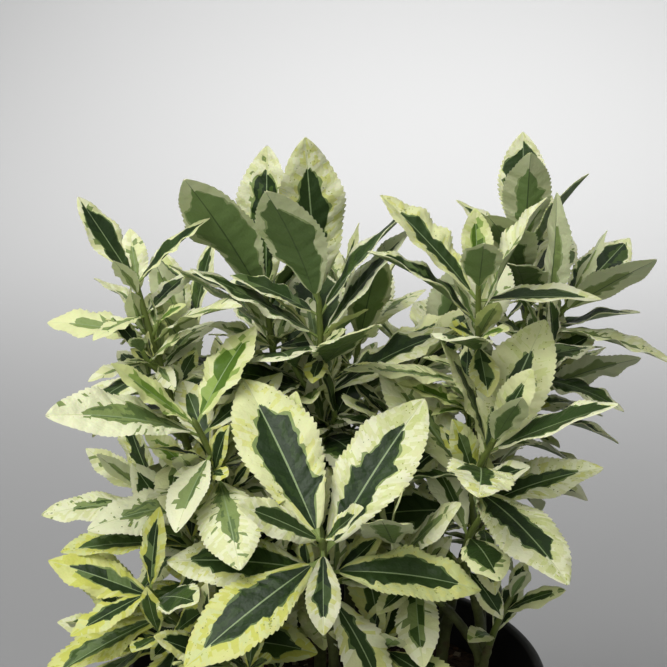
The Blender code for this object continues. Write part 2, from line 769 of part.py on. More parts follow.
def keep_main_piece(mesh):
    """Drops every loose piece and sealed hollow: all but the part of the mesh with the most corners."""
    bm = bmesh.new()
    bm.from_mesh(mesh)
    unseen, pieces = set(bm.verts), []
    while unseen:
        piece, edge_of_piece = set(), [unseen.pop()]
        while edge_of_piece:
            corner = edge_of_piece.pop()
            piece.add(corner)
            found = {edge.other_vert(corner) for edge in corner.link_edges} & unseen
            unseen -= found
            edge_of_piece += found
        pieces.append(piece)
    pieces.sort(key=len)
    for piece in pieces[:-1]:
        bmesh.ops.delete(bm, geom=list(piece), context="VERTS")
    bm.to_mesh(mesh)
    bm.free()


def build_mass(shoot, twigs, leaves, collection, green):
    """One mass of foliage: its twig, side twigs and leaves, joined by a single union on a collection."""
    main, *others = [twig for twig in twigs if twig.mass == shoot.name]
    joined = bpy.data.collections.new("joined_" + shoot.name)
    bpy.context.scene.collection.children.link(joined)
    mass = tube_object("foliage_" + shoot.name, main.path.points, main.radii(), 4, collection)
    for number, twig in enumerate(others):
        tube_object(f"side_twig_{number}", twig.path.points, twig.radii(), 4, joined)
    for number, leaf in enumerate(leaf for leaf in leaves if leaf.mass == shoot.name):
        points, faces = leaf_solid(leaf)
        solid_object(f"leaf_{number}", points, faces, joined)
    apply_boolean(mass, "UNION", "MANIFOLD", collection=joined)
    keep_main_piece(mass.data)
    for helper in list(joined.objects):
        bpy.data.objects.remove(helper)
    bpy.data.collections.remove(joined)
    mass.data.materials.clear()
    mass.data.materials.append(green)
    return mass


def turned_object(name, profile, collection):
    """A shape turned about the Z axis from a profile in the XZ plane that runs up the inside and down the
    outside."""
    mesh = bpy.data.meshes.new(name)
    points = [(radius, 0, height) for radius, height in profile]
    mesh.from_pydata(points, [(i, i + 1) for i in range(len(points) - 1)], [])
    made = new_object(name, mesh, collection)
    screw = made.modifiers.new("Turn", "SCREW")
    screw.steps = screw.render_steps = POT_SIDES
    screw.use_merge_vertices = True
    screw.merge_threshold = 1e-5
    return made


def pot_profile():
    """The pot's wall from the middle of its floor up the inside, over the rim and down to the underside.
    The underside stands on a rim at its edge and on a pad in its middle, where it is flat."""
    floor = BASE_RISE + POT_WALL
    collar = POT_HEIGHT - RIM_DEPTH
    edge = wall_radius(0)
    ring = edge - FOOT_RING_WIDTH
    mouth = wall_radius(POT_HEIGHT) - POT_WALL
    return [
        (0, POT_WALL),
        (BASE_PAD_RADIUS - PAD_SLOPE / 2, POT_WALL),
        (BASE_PAD_RADIUS + PAD_SLOPE, floor),
        (ring - PAD_SLOPE, floor),
        (edge - POT_WALL - EDGE_EASE, POT_WALL),
        (mouth, POT_HEIGHT - LIP_EASE),
        (mouth + LIP_EASE, POT_HEIGHT),
        (RIM_RADIUS - EDGE_EASE, POT_HEIGHT),
        (RIM_RADIUS, POT_HEIGHT - LIP_EASE),
        (RIM_RADIUS - COLLAR_TAPER, collar),
        (wall_radius(collar), collar - EDGE_EASE / 2),
        (edge, 0.0),
        (ring, 0.0),
        (ring - FOOT_RING_SLOPE, BASE_RISE),
        (BASE_PAD_RADIUS + PAD_SLOPE, BASE_RISE),
        (BASE_PAD_RADIUS, 0.0),
        (0, 0.0),
    ]


def build_pot(collection, cutters, plastic):
    """The pot, turned and then pierced by a circle of drain holes through its floor."""
    pot = turned_object("pot", pot_profile(), collection)
    for number in range(DRAIN_COUNT):
        angle = math.radians(DRAIN_TURN + 360 * number / DRAIN_COUNT)
        bpy.ops.mesh.primitive_cylinder_add(
            vertices=DRAIN_SIDES,
            radius=DRAIN_RADIUS,
            depth=4 * (BASE_RISE + POT_WALL),
            location=(DRAIN_CIRCLE * math.cos(angle), DRAIN_CIRCLE * math.sin(angle), BASE_RISE),
        )
        hole = bpy.context.object
        apply_boolean(pot, "DIFFERENCE", "EXACT", operand=hole)
        bpy.data.objects.remove(hole)
    pot.data.materials.append(plastic)
    return pot


def soil_profile():
    """The soil from its top down to the pot's floor, a gap inside the wall."""
    inside = POT_WALL + GAP + SOIL_SHY
    floor = BASE_RISE + POT_WALL + GAP
    return [
        (0, SOIL_TOP),
        (wall_radius(SOIL_TOP) - inside, SOIL_TOP),
        (wall_radius(floor) - inside - SOIL_FOOT_TAPER, floor),
        (0, floor),
    ]


def clear_scene():
    for thing in list(bpy.data.objects):
        bpy.data.objects.remove(thing, do_unlink=True)


def main():
    clear_scene()
    spindle = bpy.data.collections.new("japanese_spindle")
    cutters = bpy.data.collections.new("cutters")
    cutters.hide_render = True
    for made in (spindle, cutters):
        bpy.context.scene.collection.children.link(made)
    bark = material("green_bark", (0.10, 0.12, 0.045), 0.6)
    green = material("variegated_leaf", (0.36, 0.42, 0.2), 0.45)
    plastic = material("black_plastic", (0.012, 0.012, 0.013), 0.5)
    medium = material("potting_soil", (0.03, 0.02, 0.013), 0.95)

    build_pot(spindle, cutters, plastic)
    soil = turned_object("soil", soil_profile(), spindle)
    soil.data.materials.append(medium)

    paths, twigs, leaves = grow(pot_walls())
    carriers = {}
    for shoot in SHOOTS:
        build_limb(shoot, paths[shoot.name], spindle, cutters, carriers, bark)
    for shoot in SHOOTS:
        build_mass(shoot, twigs, leaves, spindle, green)


main()
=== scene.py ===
"""Looks of the variegated Japanese spindle in its nursery pot.

The plant grows here again by the rule of its source, from the same sizes and seeds, and the growth is
carried on to finer twigs. Every leaf becomes a thin closed blade with a toothed margin, coloured by where its
faces lie on it. Limbs get the relief of bark, and pot and soil are surfaces worked out on a grid.
"""

import math
import random
from typing import NamedTuple

import bpy
import numpy as np
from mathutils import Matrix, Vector
from mathutils.bvhtree import BVHTree


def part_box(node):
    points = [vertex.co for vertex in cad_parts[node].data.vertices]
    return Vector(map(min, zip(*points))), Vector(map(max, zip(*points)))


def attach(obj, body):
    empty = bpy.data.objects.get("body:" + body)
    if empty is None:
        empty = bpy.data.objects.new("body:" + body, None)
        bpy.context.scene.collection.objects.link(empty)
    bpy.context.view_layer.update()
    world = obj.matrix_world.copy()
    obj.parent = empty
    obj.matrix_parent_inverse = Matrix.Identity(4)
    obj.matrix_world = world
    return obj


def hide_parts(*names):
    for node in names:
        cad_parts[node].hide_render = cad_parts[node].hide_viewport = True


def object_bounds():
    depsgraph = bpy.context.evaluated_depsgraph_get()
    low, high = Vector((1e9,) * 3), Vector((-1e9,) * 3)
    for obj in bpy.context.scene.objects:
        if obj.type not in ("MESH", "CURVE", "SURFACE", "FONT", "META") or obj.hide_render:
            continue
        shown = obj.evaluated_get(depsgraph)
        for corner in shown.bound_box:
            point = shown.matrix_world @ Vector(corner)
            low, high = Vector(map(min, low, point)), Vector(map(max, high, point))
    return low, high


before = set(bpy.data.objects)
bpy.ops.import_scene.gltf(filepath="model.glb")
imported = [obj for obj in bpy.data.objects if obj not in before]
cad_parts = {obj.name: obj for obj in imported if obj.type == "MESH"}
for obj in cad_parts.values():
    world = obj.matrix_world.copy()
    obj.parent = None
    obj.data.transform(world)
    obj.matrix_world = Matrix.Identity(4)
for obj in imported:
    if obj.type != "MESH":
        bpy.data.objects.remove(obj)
cad_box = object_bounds()

MM = 0.001
UP = np.array([0.0, 0.0, 1.0])
NEARLY_NONE = 1e-3

# The pot: a thin-walled nursery pot, 190 mm over its rim
POT_HEIGHT = 150 * MM
RIM_RADIUS = 95 * MM
RIM_DEPTH = 13 * MM
RIM_PROUD = 2.6 * MM
FOOT_RADIUS = 66 * MM
POT_WALL = 1.8 * MM
BASE_RISE = 2.5 * MM
BASE_PAD_RADIUS = 20 * MM
DRAIN_COUNT = 6
DRAIN_RADIUS = 5 * MM
DRAIN_CIRCLE = 46 * MM
DRAIN_TURN = 13
WALL_SIDES = 40
EDGE_EASE = 0.8 * MM
LIP_EASE = 1.2 * MM
COLLAR_TAPER = 1.6 * MM
FOOT_RING_WIDTH = 5 * MM
FOOT_RING_SLOPE = 3 * MM
PAD_SLOPE = 2 * MM

# The growing medium and the gap that neighbouring pieces keep
SOIL_BELOW_RIM = 22 * MM
SOIL_TOP = POT_HEIGHT - SOIL_BELOW_RIM
SOIL_SHY = 0.3 * MM
SOIL_FOOT_TAPER = 1 * MM
SOIL_OPEN_RADIUS = 5 * MM
GAP = 0.3 * MM

# Limbs and twigs
STEM_RADIUS = 2.9 * MM
BOUGH_RADIUS = 2.1 * MM
TWIG_RADIUS = 1.7 * MM
APEX_RADIUS = 1.2 * MM
ROOT_FLARE = 1.35
FLARE_HEIGHT = 7 * MM
STEM_POINTS = 5
TWIG_POINTS = 4
BOW = 0.36
CARRIER_PULL = 0.55
LEAST_LIMB = 14 * MM
BARE_BELOW_PAIRS = 3 * MM

# Pairs of leaves: their clearance from the twig's two ends, and how much closer they stand towards its tip
TIP_MARGIN = 1.5 * MM
FOOT_MARGIN = 4 * MM
CROWDING = 1.5

# Leaves find room from this share of a twig's pairs outwards
FIRST_PLACED = 0.55

# How a leaf changes from the growing tip, age 0, to the foot of the leafy part, age 1; angles in degrees
FIRST_OPENING = 12
OPENING_GAIN = 70
OPENING_CURVE = 0.85
FIRST_ARCH = 4
ARCH_GAIN = 30
GROWING_CURVE = 6
OLD_SHRINK = 0.18
LEAST_OPENING = 8
MOST_OPENING = 112

# What a leaf's upper surface turns to: along its twig, to the sky and away from its own side
FACE_ALONG = 0.75
FACE_UP = 0.45
FACE_AWAY = 0.15

# Leaves: proportions are shares of a leaf's own length
LEAF_HALF_WIDTH = 0.222
LEAF_THICK = 0.018
LEAST_THICK = 0.7 * MM
STALK_HALF_WIDTH = 0.009
STALK_END = 0.09
FULL_LEAF_RINGS = ((0.36, 0.9), (0.78, 0.86))
SMALL_LEAF_RINGS = ((0.55, 1.05),)
SMALL_LEAF = 46 * MM
LEAF_ROOM = 0.2 * MM
SHORTEST_LEAF = 17 * MM
ROOT_OFFSET = 0.5 * MM

# Corners of a leaf's rings, from its right edge over its face: places across it and shares of its thickness
RING_ACROSS = np.array([1.0, 0.0, -1.0, 0.0])
RING_LIFT = np.array([0.0, 1.0, 0.0, -1.0])
STALK_ACROSS = np.array([1.0, -1.0, 0.0])
STALK_LIFT = np.array([0.6, 0.6, -1.0])

# How a leaf that would touch its neighbours gives way: turn round the twig, opening, share of its length
GIVE_WAY = [
    (turn, opening, share)
    for share in (1.0, 0.9, 0.78, 0.64, 0.5)
    for opening in (0, -10, 10, -20, 20)
    for turn in (0, 11, -11, 22, -22)
]

# Side twigs: their lean off the twig, least and greatest length, where and how far they bend up, their turn
# and their radii
SIDE_AHEAD = 0.8
SIDE_OUT = 0.75
SIDE_LENGTHS = (15 * MM, 24 * MM)
SIDE_BEND = 0.55
SIDE_RISE = 0.25
SIDE_TURN = (-10, 10)
SIDE_RADII = (TWIG_RADIUS * 0.75, APEX_RADIUS * 0.8)

# A side twig's pairs: share of its length where the pair stands, its opening and its share of leaf length
SIDE_PAIRS = ((0.94, 26, 0.42), (0.6, 58, 0.5))


class Uneven(NamedTuple):
    """How unevenly one sort of leaves grows: the two ends that each value is drawn between, in degrees. Turn
    and opening are added to what the rule gives, and size is a share of it."""

    turn: tuple
    opening: tuple
    size: tuple
    arch: tuple
    fold: tuple
    twist: tuple


MAIN_LEAVES = Uneven((-13, 13), (-6, 6), (0.93, 1.05), (-8, 14), (8, 24), (-14, 14))
SIDE_LEAVES = Uneven((-12, 12), (-6, 6), (0.85, 1.1), (4, 24), (10, 26), (-12, 12))
SPUR_LEAVES = Uneven((-18, 18), (-8, 8), (0.8, 1.25), (4, 30), (8, 26), (-16, 16))
LIMB_LEAVES = Uneven((-25, 25), (-8, 8), (0.6, 1.05), (4, 30), (8, 26), (-16, 16))


class Shoot(NamedTuple):
    """One shoot. Lengths are in millimetres and angles in degrees."""

    name: str
    carrier: str  # "soil", or the shoot that it forks from
    start: tuple  # its foot (x, y) on the soil, or (share of the carrier's limb,)
    apex: tuple  # its growing tip
    tilt: float  # how far the tip leans from upright
    heading: float  # where it leans to, from +X towards +Y
    leafy: float  # length of its leafy upper part
    pairs: int  # pairs of leaves on it
    leaf: float  # length of its longest leaf
    roll: float  # turn of its pairs round the twig
    spread: float  # how wide its leaves open
    young: float  # size of its youngest pair, as a share of its longest leaf
    side_twigs: int = 1


SHOOTS = [
    Shoot("front_low", "soil", (2, -40), (-4, -92, 255), 46, -90, 46, 5, 68, 0, 1.0, 0.5, 1),
    Shoot("crown_middle", "soil", (-6, 6), (-6, -12, 325), 8, 250, 84, 7, 66, 22, 0.9, 0.9, 2),
    Shoot("crown_left", "soil", (-28, 22), (-29, 16, 319), 10, 220, 80, 7, 66, 60, 0.95, 0.9, 1),
    Shoot("crown_right", "soil", (50, 24), (85, 50, 331), 10, 170, 80, 7, 60, 20, 0.9, 0.9, 2),
    Shoot("right_upper", "soil", (64, -20), (57, -30, 336), 10, 260, 82, 7, 60, 5, 1.1, 0.4, 2),
    Shoot("left_upper", "soil", (-36, -18), (-80, -15, 334), 12, 200, 76, 7, 50, -20, 1.1, 0.5, 2),
    Shoot("right_middle", "right_upper", (0.6,), (62, -58, 282), 34, -25, 62, 6, 66, 40, 1.1, 0.5, 0),
    Shoot("left_middle", "left_upper", (0.55,), (-54, -50, 286), 30, 200, 64, 6, 66, 10, 1.1, 0.5, 1),
    Shoot("right_low", "right_upper", (0.4,), (58, -58, 250), 34, -35, 38, 3, 54, -8, 0.95, 0.6, 0),
    Shoot("left_low", "left_upper", (0.3,), (-62, -40, 234), 42, 185, 52, 5, 60, 0, 1.0, 0.6, 1),
    Shoot("left_low_front", "left_upper", (0.14,), (-72, -70, 224), 34, 225, 50, 5, 60, 10, 1.05, 0.5, 1),
    Shoot("right_far", "crown_right", (0.75,), (104, 32, 312), 52, 10, 60, 6, 62, 80, 1.0, 0.6, 1),
    Shoot("right_back", "crown_right", (0.45,), (97, 62, 264), 62, 20, 56, 5, 60, 70, 1.0, 0.6, 1),
    Shoot("centre_back", "crown_middle", (0.5,), (12, 34, 300), 12, 60, 74, 6, 58, 30, 1.0, 0.6, 1),
    Shoot("centre_right", "crown_middle", (0.7,), (34, -8, 296), 16, -10, 66, 6, 56, 70, 1.0, 0.6, 1),
    Shoot("centre_low", "crown_middle", (0.35,), (-22, -50, 256), 34, 250, 60, 6, 50, 0, 1.0, 0.6, 1),
    Shoot("centre_low_right", "right_upper", (0.3,), (22, -62, 244), 36, -100, 56, 5, 50, 45, 1.0, 0.6, 1),
    Shoot("bottom_centre", "front_low", (0.35,), (22, -66, 198), 56, -70, 34, 4, 48, 20, 1.0, 0.6, 1),
    Shoot("bottom_right", "right_upper", (0.22,), (74, -36, 204), 24, -10, 26, 3, 32, 30, 0.45, 0.6, 0),
    Shoot("bottom_front", "front_low", (0.2,), (-46, -82, 200), 62, 225, 40, 4, 50, 0, 1.0, 0.6, 1),
    Shoot("bottom_left", "left_upper", (0.05,), (-84, -46, 190), 66, 205, 44, 4, 56, 20, 1.0, 0.6, 1),
    Shoot("back_middle", "soil", (8, 48), (4, 66, 300), 14, 90, 76, 6, 60, 15, 1.0, 0.7, 1),
    Shoot("back_left", "soil", (-42, 38), (-68, 56, 290), 26, 140, 72, 6, 60, 50, 1.0, 0.7, 1),
    Shoot("left_back_low", "back_left", (0.3,), (-84, 22, 226), 60, 170, 50, 5, 56, 20, 1.0, 0.6, 1),
    Shoot("back_right", "back_middle", (0.6,), (48, 86, 276), 46, 60, 60, 5, 58, 40, 1.0, 0.6, 1),
    Shoot("back_low", "back_middle", (0.3,), (0, 98, 226), 60, 95, 54, 5, 58, 0, 1.0, 0.6, 1),
    Shoot("back_low_left", "back_left", (0.12,), (-48, 86, 214), 60, 125, 50, 5, 56, 45, 1.0, 0.6, 1),
    Shoot("back_low_right", "crown_right", (0.15,), (60, 84, 222), 58, 55, 50, 5, 56, 30, 1.0, 0.6, 1),
]

# Leaves that are set: turn, opening, length in millimetres and twist, a node's two leaves on each line,
# from the tip down
SET_LEAVES = {
    "front_low": (
        ((172, 40, 42, 0), (15, 30, 28, 0)),
        ((113, 80, 80, 0), (-100, 104, 32, 0)),
        ((60, 68, 78, 0), (222, 82, 64, 0)),
        ((176, 76, 60, 0), (0, 80, 60, 0)),
        ((140, 100, 46, 0), (-50, 100, 50, 0)),
    ),
    "crown_left": (
        ((-85, 24, 72, 35), (110, 14, 65, 0)),
        ((-130, 52, 42, 0), (20, 30, 44, 0)),
    ),
    "crown_middle": (
        ((-115, 18, 60, 35), (120, 12, 66, 0)),
        ((30, 34, 56, -20), (-175, 58, 42, 0)),
    ),
    "crown_right": (
        ((-160, 8, 56, 0), (45, 24, 54, 0)),
        ((105, 28, 54, 0), (-75, 42, 44, 0)),
    ),
    "left_upper": (
        ((-140, 36, 40, 0), (92, 58, 38, 0)),
        ((-28, 22, 22, 0), (160, 22, 28, 0)),
        ((-50, 75, 30, 0), (130, 70, 32, 0)),
    ),
    "left_low_front": (
        ((90, 42, 36, 0), (-100, 60, 36, 0)),
        ((-165, 50, 46, 0), (15, 50, 40, 0)),
        ((-120, 62, 64, 20), (60, 60, 44, 0)),
    ),
    "right_upper": (
        ((105, 20, 32, 0), (-78, 38, 42, 0)),
        ((160, 44, 55, 0), (15, 86, 52, 0)),
    ),
    "right_middle": (
        ((36, 12, 33, 10), (212, 10, 33, 6)),
        ((125, 33, 56, 0), (306, 32, 57, -6)),
        ((35, 49, 65, -13), (211, 45, 60, 5)),
        ((130, 59, 63, 10), (305, 62, 65, -13)),
        ((33, 75, 59, -4), (209, 73, 58, -14)),
        ((118, 89, 56, 4), (290, 80, 28, 3)),
    ),
    "right_low": (
        ((-10, 7, 33, -9), (160, 11, 33, -10)),
        ((84, 52, 52, 0), (273, 43, 42, 7)),
        ((-21, 64, 26, -8), (163, 77, 44, 3)),
    ),
    "left_middle": (
        ((-140, 30, 44, 0), (100, 66, 46, 0)),
        ((-105, 36, 66, 30), (70, 80, 44, 0)),
        ((-60, 84, 44, 0), (150, 60, 40, 0)),
    ),
}


class Path(NamedTuple):
    """A smooth line through space, as points and the distance of each along it."""

    points: np.ndarray
    lengths: np.ndarray

    def at(self, distance):
        """The point at a distance along the path."""
        return np.array([np.interp(distance, self.lengths, self.points[:, i]) for i in range(3)])

    def heading(self, distance, step=0.5 * MM):
        """The direction of the path there, from one step before to one step after."""
        return unit(self.at(distance + step) - self.at(distance - step))

    def stretch(self, first, last, count):
        """Evenly spaced points from one distance to another."""
        return [self.at(distance) for distance in np.linspace(first, last, count)]

    @property
    def length(self):
        """The path's whole length."""
        return self.lengths[-1]


def unit(vector):
    """The vector at length 1."""
    return vector / np.linalg.norm(vector)


def leaning(tilt, heading):
    """The direction that leans by tilt from upright towards heading, both in degrees."""
    tilt, heading = math.radians(tilt), math.radians(heading)
    out = math.sin(tilt)
    return np.array([out * math.cos(heading), out * math.sin(heading), math.cos(tilt)])


def turned(vector, axis, angle):
    """The vector turned about a unit axis by an angle in degrees: its part along the axis stays, and the rest
    goes round by the angle's cosine and sine."""
    angle = math.radians(angle)
    cross = np.cross(axis, vector)
    along = axis * np.dot(axis, vector)
    return vector * math.cos(angle) + cross * math.sin(angle) + along * (1 - math.cos(angle))


def across(direction):
    """A unit vector at right angles to the direction, level where that can be."""
    level = np.cross(UP, direction)
    return unit(level) if np.linalg.norm(level) > NEARLY_NONE else np.array([1.0, 0.0, 0.0])


def smooth_path(start, leave, apex, arrive, count=40):
    """A curve that leaves start along leave and reaches apex along arrive: a mean of four corners, whose
    weights are the terms of the cube of (1 - t) + t, for t from 0 to 1."""
    reach = np.linalg.norm(apex - start)
    corners = [start, start + leave * reach * BOW, apex - arrive * reach * BOW, apex]
    t = np.linspace(0, 1, count)[:, None]
    weights = [(1 - t) ** 3, 3 * t * (1 - t) ** 2, 3 * t**2 * (1 - t), t**3]
    return line_path(sum(weight * corner for weight, corner in zip(weights, corners)))


def line_path(points):
    """A path of straight stretches through the points."""
    points = np.array(points)
    steps = np.linalg.norm(np.diff(points, axis=0), axis=1)
    return Path(points, np.concatenate([[0.0], np.cumsum(steps)]))


def leafy_from(shoot, path):
    """The distance along the path where the bare limb ends and the leafy twig begins."""
    return max(path.length - shoot.leafy * MM - BARE_BELOW_PAIRS, LEAST_LIMB)


def shoot_paths():
    """Every shoot's path by name. A carrier comes before the shoots that fork from it."""
    paths = {}
    by_name = {shoot.name: shoot for shoot in SHOOTS}
    for shoot in SHOOTS:
        apex = np.array(shoot.apex) * MM
        arrive = leaning(shoot.tilt, shoot.heading)
        if shoot.carrier == "soil":
            foot = np.array([*np.array(shoot.start) * MM, SOIL_TOP + GAP])
            leave = UP
        else:
            carrier = paths[shoot.carrier]
            distance = shoot.start[0] * leafy_from(by_name[shoot.carrier], carrier)
            foot = carrier.at(distance)
            leave = unit(carrier.heading(distance) * CARRIER_PULL + unit(apex - foot))
        paths[shoot.name] = smooth_path(foot, leave, apex, arrive)
    return paths


class Leaf(NamedTuple):
    """One leaf, by its own frame and sizes. The blade bends back by arch, in radians, from root to tip."""

    mass: str
    root: np.ndarray
    along: np.ndarray  # from the root into the blade
    face: np.ndarray  # out of the upper surface
    length: float
    arch: float
    fold: float  # how far the two halves rise from the midrib
    twist: float
    key: str


def leaf_frame(leaf, s):
    """The midrib's point, and the side and face directions there, at shares s of the leaf's length. The
    midrib is an arc of a circle, and the blade twists evenly along it."""
    bend = leaf.arch * s
    arch = max(abs(leaf.arch), NEARLY_NONE) * (1 if leaf.arch >= 0 else -1)
    run = np.sin(arch * s) / arch
    drop = (1 - np.cos(arch * s)) / arch
    middle = leaf.root + leaf.length * (run[..., None] * leaf.along - drop[..., None] * leaf.face)
    face = np.sin(bend)[..., None] * leaf.along + np.cos(bend)[..., None] * leaf.face
    side = np.cross(leaf.face, leaf.along)
    turn = leaf.twist * s
    sideways = np.cos(turn)[..., None] * side + np.sin(turn)[..., None] * face
    outward = np.cos(turn)[..., None] * face - np.sin(turn)[..., None] * side
    return middle, sideways, outward


def leaf_point(leaf, s, u, half, lift):
    """The points at shares s along the blade and u across it, from -1 to 1, where it is half wide from its
    midrib. Each side is flat and rises from the midrib by the fold, and lift is off the blade."""
    middle, side, face = leaf_frame(leaf, s)
    rise = np.abs(u) * half * math.sin(leaf.fold) + lift
    return middle + (u * half * math.cos(leaf.fold))[..., None] * side + rise[..., None] * face


def leaf_solid(leaf, room=0.0, blade_only=False):
    """The leaf as a closed solid: a three-cornered stalk, then four-cornered rings and a point. With room it
    is that much larger all round. The upper and under surfaces are split into triangles alike, each from a
    ring's edge corner to the midrib of the next, so that a thin twisted blade stays whole."""
    thick = max(LEAF_THICK * leaf.length, LEAST_THICK) / 2 + room
    rings = FULL_LEAF_RINGS if leaf.length > SMALL_LEAF else SMALL_LEAF_RINGS
    stalk_half = leaf.length * STALK_HALF_WIDTH + room
    points = []
    for share in (STALK_END,) if blade_only else (0.0, STALK_END):
        points.append(leaf_point(leaf, np.full(3, share), STALK_ACROSS, stalk_half, STALK_LIFT * thick))
    for share, width in rings:
        half = leaf.length * LEAF_HALF_WIDTH * width + room
        points.append(leaf_point(leaf, np.full(4, share), RING_ACROSS, half, RING_LIFT * thick))
    points.append(leaf_point(leaf, np.array([1.0 + room / leaf.length]), np.zeros(1), 0.0, 0.0))
    faces = [(0, 2, 1)]
    if not blade_only:
        faces += ring_faces(0, 3)
    a = 0 if blade_only else 3
    b = a + 3
    faces += [(a, a + 1, b + 1), (a + 1, b + 2, b + 1), (a, b + 1, b)]
    faces += [(a + 1, a + 2, b + 3), (a + 1, b + 3, b + 2), (a + 2, a, b + 3), (a, b, b + 3)]
    for row in range(len(rings) - 1):
        faces += blade_faces(b + 4 * row)
    last = b + 4 * (len(rings) - 1)
    faces += [(last + i, last + (i + 1) % 4, last + 4) for i in range(4)]
    return np.concatenate(points), faces


def blade_faces(a):
    """Triangles from the four-cornered ring of a blade that starts at point a to the next ring."""
    b = a + 4
    upper = [(a, a + 1, b + 1), (a, b + 1, b), (a + 1, a + 2, b + 1), (a + 2, b + 2, b + 1)]
    under = [(a + 2, a + 3, b + 3), (a + 2, b + 3, b + 2), (a + 3, a, b + 3), (a, b, b + 3)]
    return upper + under


def ring_faces(low, count):
    """Faces from one ring of points to the next, which go round anticlockwise seen from the far end."""
    high = low + count
    return [(low + i, low + (i + 1) % count, high + (i + 1) % count, high + i) for i in range(count)]


class Room:
    """What already stands in the crown, so that a new leaf can keep clear of it."""

    def __init__(self):
        """Nothing stands here yet."""
        self.trees, self.masses, self.low, self.high = [], [], [], []

    def add(self, points, faces, mass):
        """Another solid stands here, of the named mass or of none."""
        self.trees.append(BVHTree.FromPolygons(points.tolist(), faces))
        self.masses.append(mass)
        self.low.append(points.min(0))
        self.high.append(points.max(0))

    def blocked(self, points, faces, own=None, other_than=None):
        """True if the solid cuts anything here. own keeps to one mass, and other_than leaves one out."""
        if not self.trees:
            return False
        near = np.all(np.array(self.low) < points.max(0), 1) & np.all(np.array(self.high) > points.min(0), 1)
        tree = None
        for i in np.flatnonzero(near):
            if (own is not None and self.masses[i] != own) or self.masses[i] == other_than:
                continue
            tree = tree or BVHTree.FromPolygons(points.tolist(), faces)
            if tree.overlap(self.trees[i]):
                return True
        return False


class Twig(NamedTuple):
    """A twig of a mass: its line, of straight stretches, and the radii of its two ends."""

    mass: str
    path: Path
    first_radius: float
    last_radius: float

    def shell(self):
        """Points and faces that leaves keep clear of."""
        points = self.path.points
        return tube_shell(points, self.first_radius + LEAF_ROOM, self.last_radius + LEAF_ROOM)


def tube_shell(points, first_radius, last_radius, sides=6):
    """Points and faces of a plain tapering tube with a pointed end, used to keep leaves clear of a limb."""
    points = np.array(points)
    radii = np.linspace(first_radius, last_radius, len(points))
    shell = []
    for i, radius in enumerate(radii):
        ahead = unit(points[min(i + 1, len(points) - 1)] - points[max(i - 1, 0)])
        shell += [points[i] + radius * turned(across(ahead), ahead, 360 * k / sides) for k in range(sides)]
    faces = [tuple(reversed(range(sides)))]
    for row in range(len(points) - 1):
        faces += ring_faces(row * sides, sides)
    last = len(shell)
    faces += [(last - sides + i, last - sides + (i + 1) % sides, last) for i in range(sides)]
    return np.array(shell + [points[-1]]), faces


def pair_turn(shoot, node, side):
    """The turn round its twig of one of a node's two leaves: node by node, pairs cross at right angles."""
    return shoot.roll + 90 * (node % 2) + 180 * side


def twig_node(twig, age):
    """Where a pair stands on its twig, and the twig's heading there: pairs crowd towards the tip."""
    last = twig.path.length - TIP_MARGIN
    distance = last - (last - FOOT_MARGIN) * age**CROWDING
    return twig.path.at(distance), twig.path.heading(distance)


def wanted_leaf(shoot, twig, node, sidedness, draw):
    """The leaf that the shoot's rule asks for at one side of a node: with age a leaf opens, bends back and
    lengthens, and the oldest are a little shorter again."""
    age = node / (shoot.pairs - 1)
    place, axis = twig_node(twig, age)
    turn = pair_turn(shoot, node, sidedness) + draw.uniform(*MAIN_LEAVES.turn)
    opening = (FIRST_OPENING + OPENING_GAIN * age**OPENING_CURVE) * shoot.spread
    opening += draw.uniform(*MAIN_LEAVES.opening)
    growing = 1 - (1 - shoot.young) * (1 - age) ** GROWING_CURVE
    length = shoot.leaf * growing * (1 - OLD_SHRINK * age**2)
    twist = None
    if node < len(SET_LEAVES.get(shoot.name, ())):
        turn, opening, length, twist = SET_LEAVES[shoot.name][node][sidedness]
    length = length * MM * draw.uniform(*MAIN_LEAVES.size)
    arch = FIRST_ARCH + ARCH_GAIN * age
    key = f"{shoot.name}-{node}-{sidedness}"
    return make_wish(shoot, place, axis, turn, opening, length, key, MAIN_LEAVES, draw, arch, twist)


def make_wish(shoot, place, axis, turn, opening, length, key, uneven, draw, arch=0, twist=None):
    """The wish for a leaf whose arch, fold and twist are drawn here, but for a twist that is given."""
    arch = math.radians(arch + draw.uniform(*uneven.arch))
    fold = math.radians(draw.uniform(*uneven.fold))
    twist = math.radians(draw.uniform(*uneven.twist) if twist is None else twist)
    return Wish(shoot.name, place, axis, turn, opening, length, arch, fold, twist, key)


class Wish(NamedTuple):
    """A leaf by the angles that place it on its twig."""

    mass: str
    node: np.ndarray
    axis: np.ndarray
    turn: float
    opening: float
    length: float
    arch: float
    fold: float
    twist: float
    key: str


def leaf_from(wish, turn, opening, share):
    """The leaf of a wish, turned round the twig, opened further and shortened."""
    outward = turned(across(wish.axis), wish.axis, wish.turn + turn)
    angle = math.radians(min(max(wish.opening + opening, LEAST_OPENING), MOST_OPENING))
    along = unit(math.cos(angle) * wish.axis + math.sin(angle) * outward)
    above = wish.axis * FACE_ALONG + UP * FACE_UP - outward * FACE_AWAY
    face = unit(above - along * np.dot(above, along))
    root = wish.node + outward * ROOT_OFFSET
    length = wish.length * share
    return Leaf(wish.mass, root, along, face, length, wish.arch, wish.fold, wish.twist, wish.key)


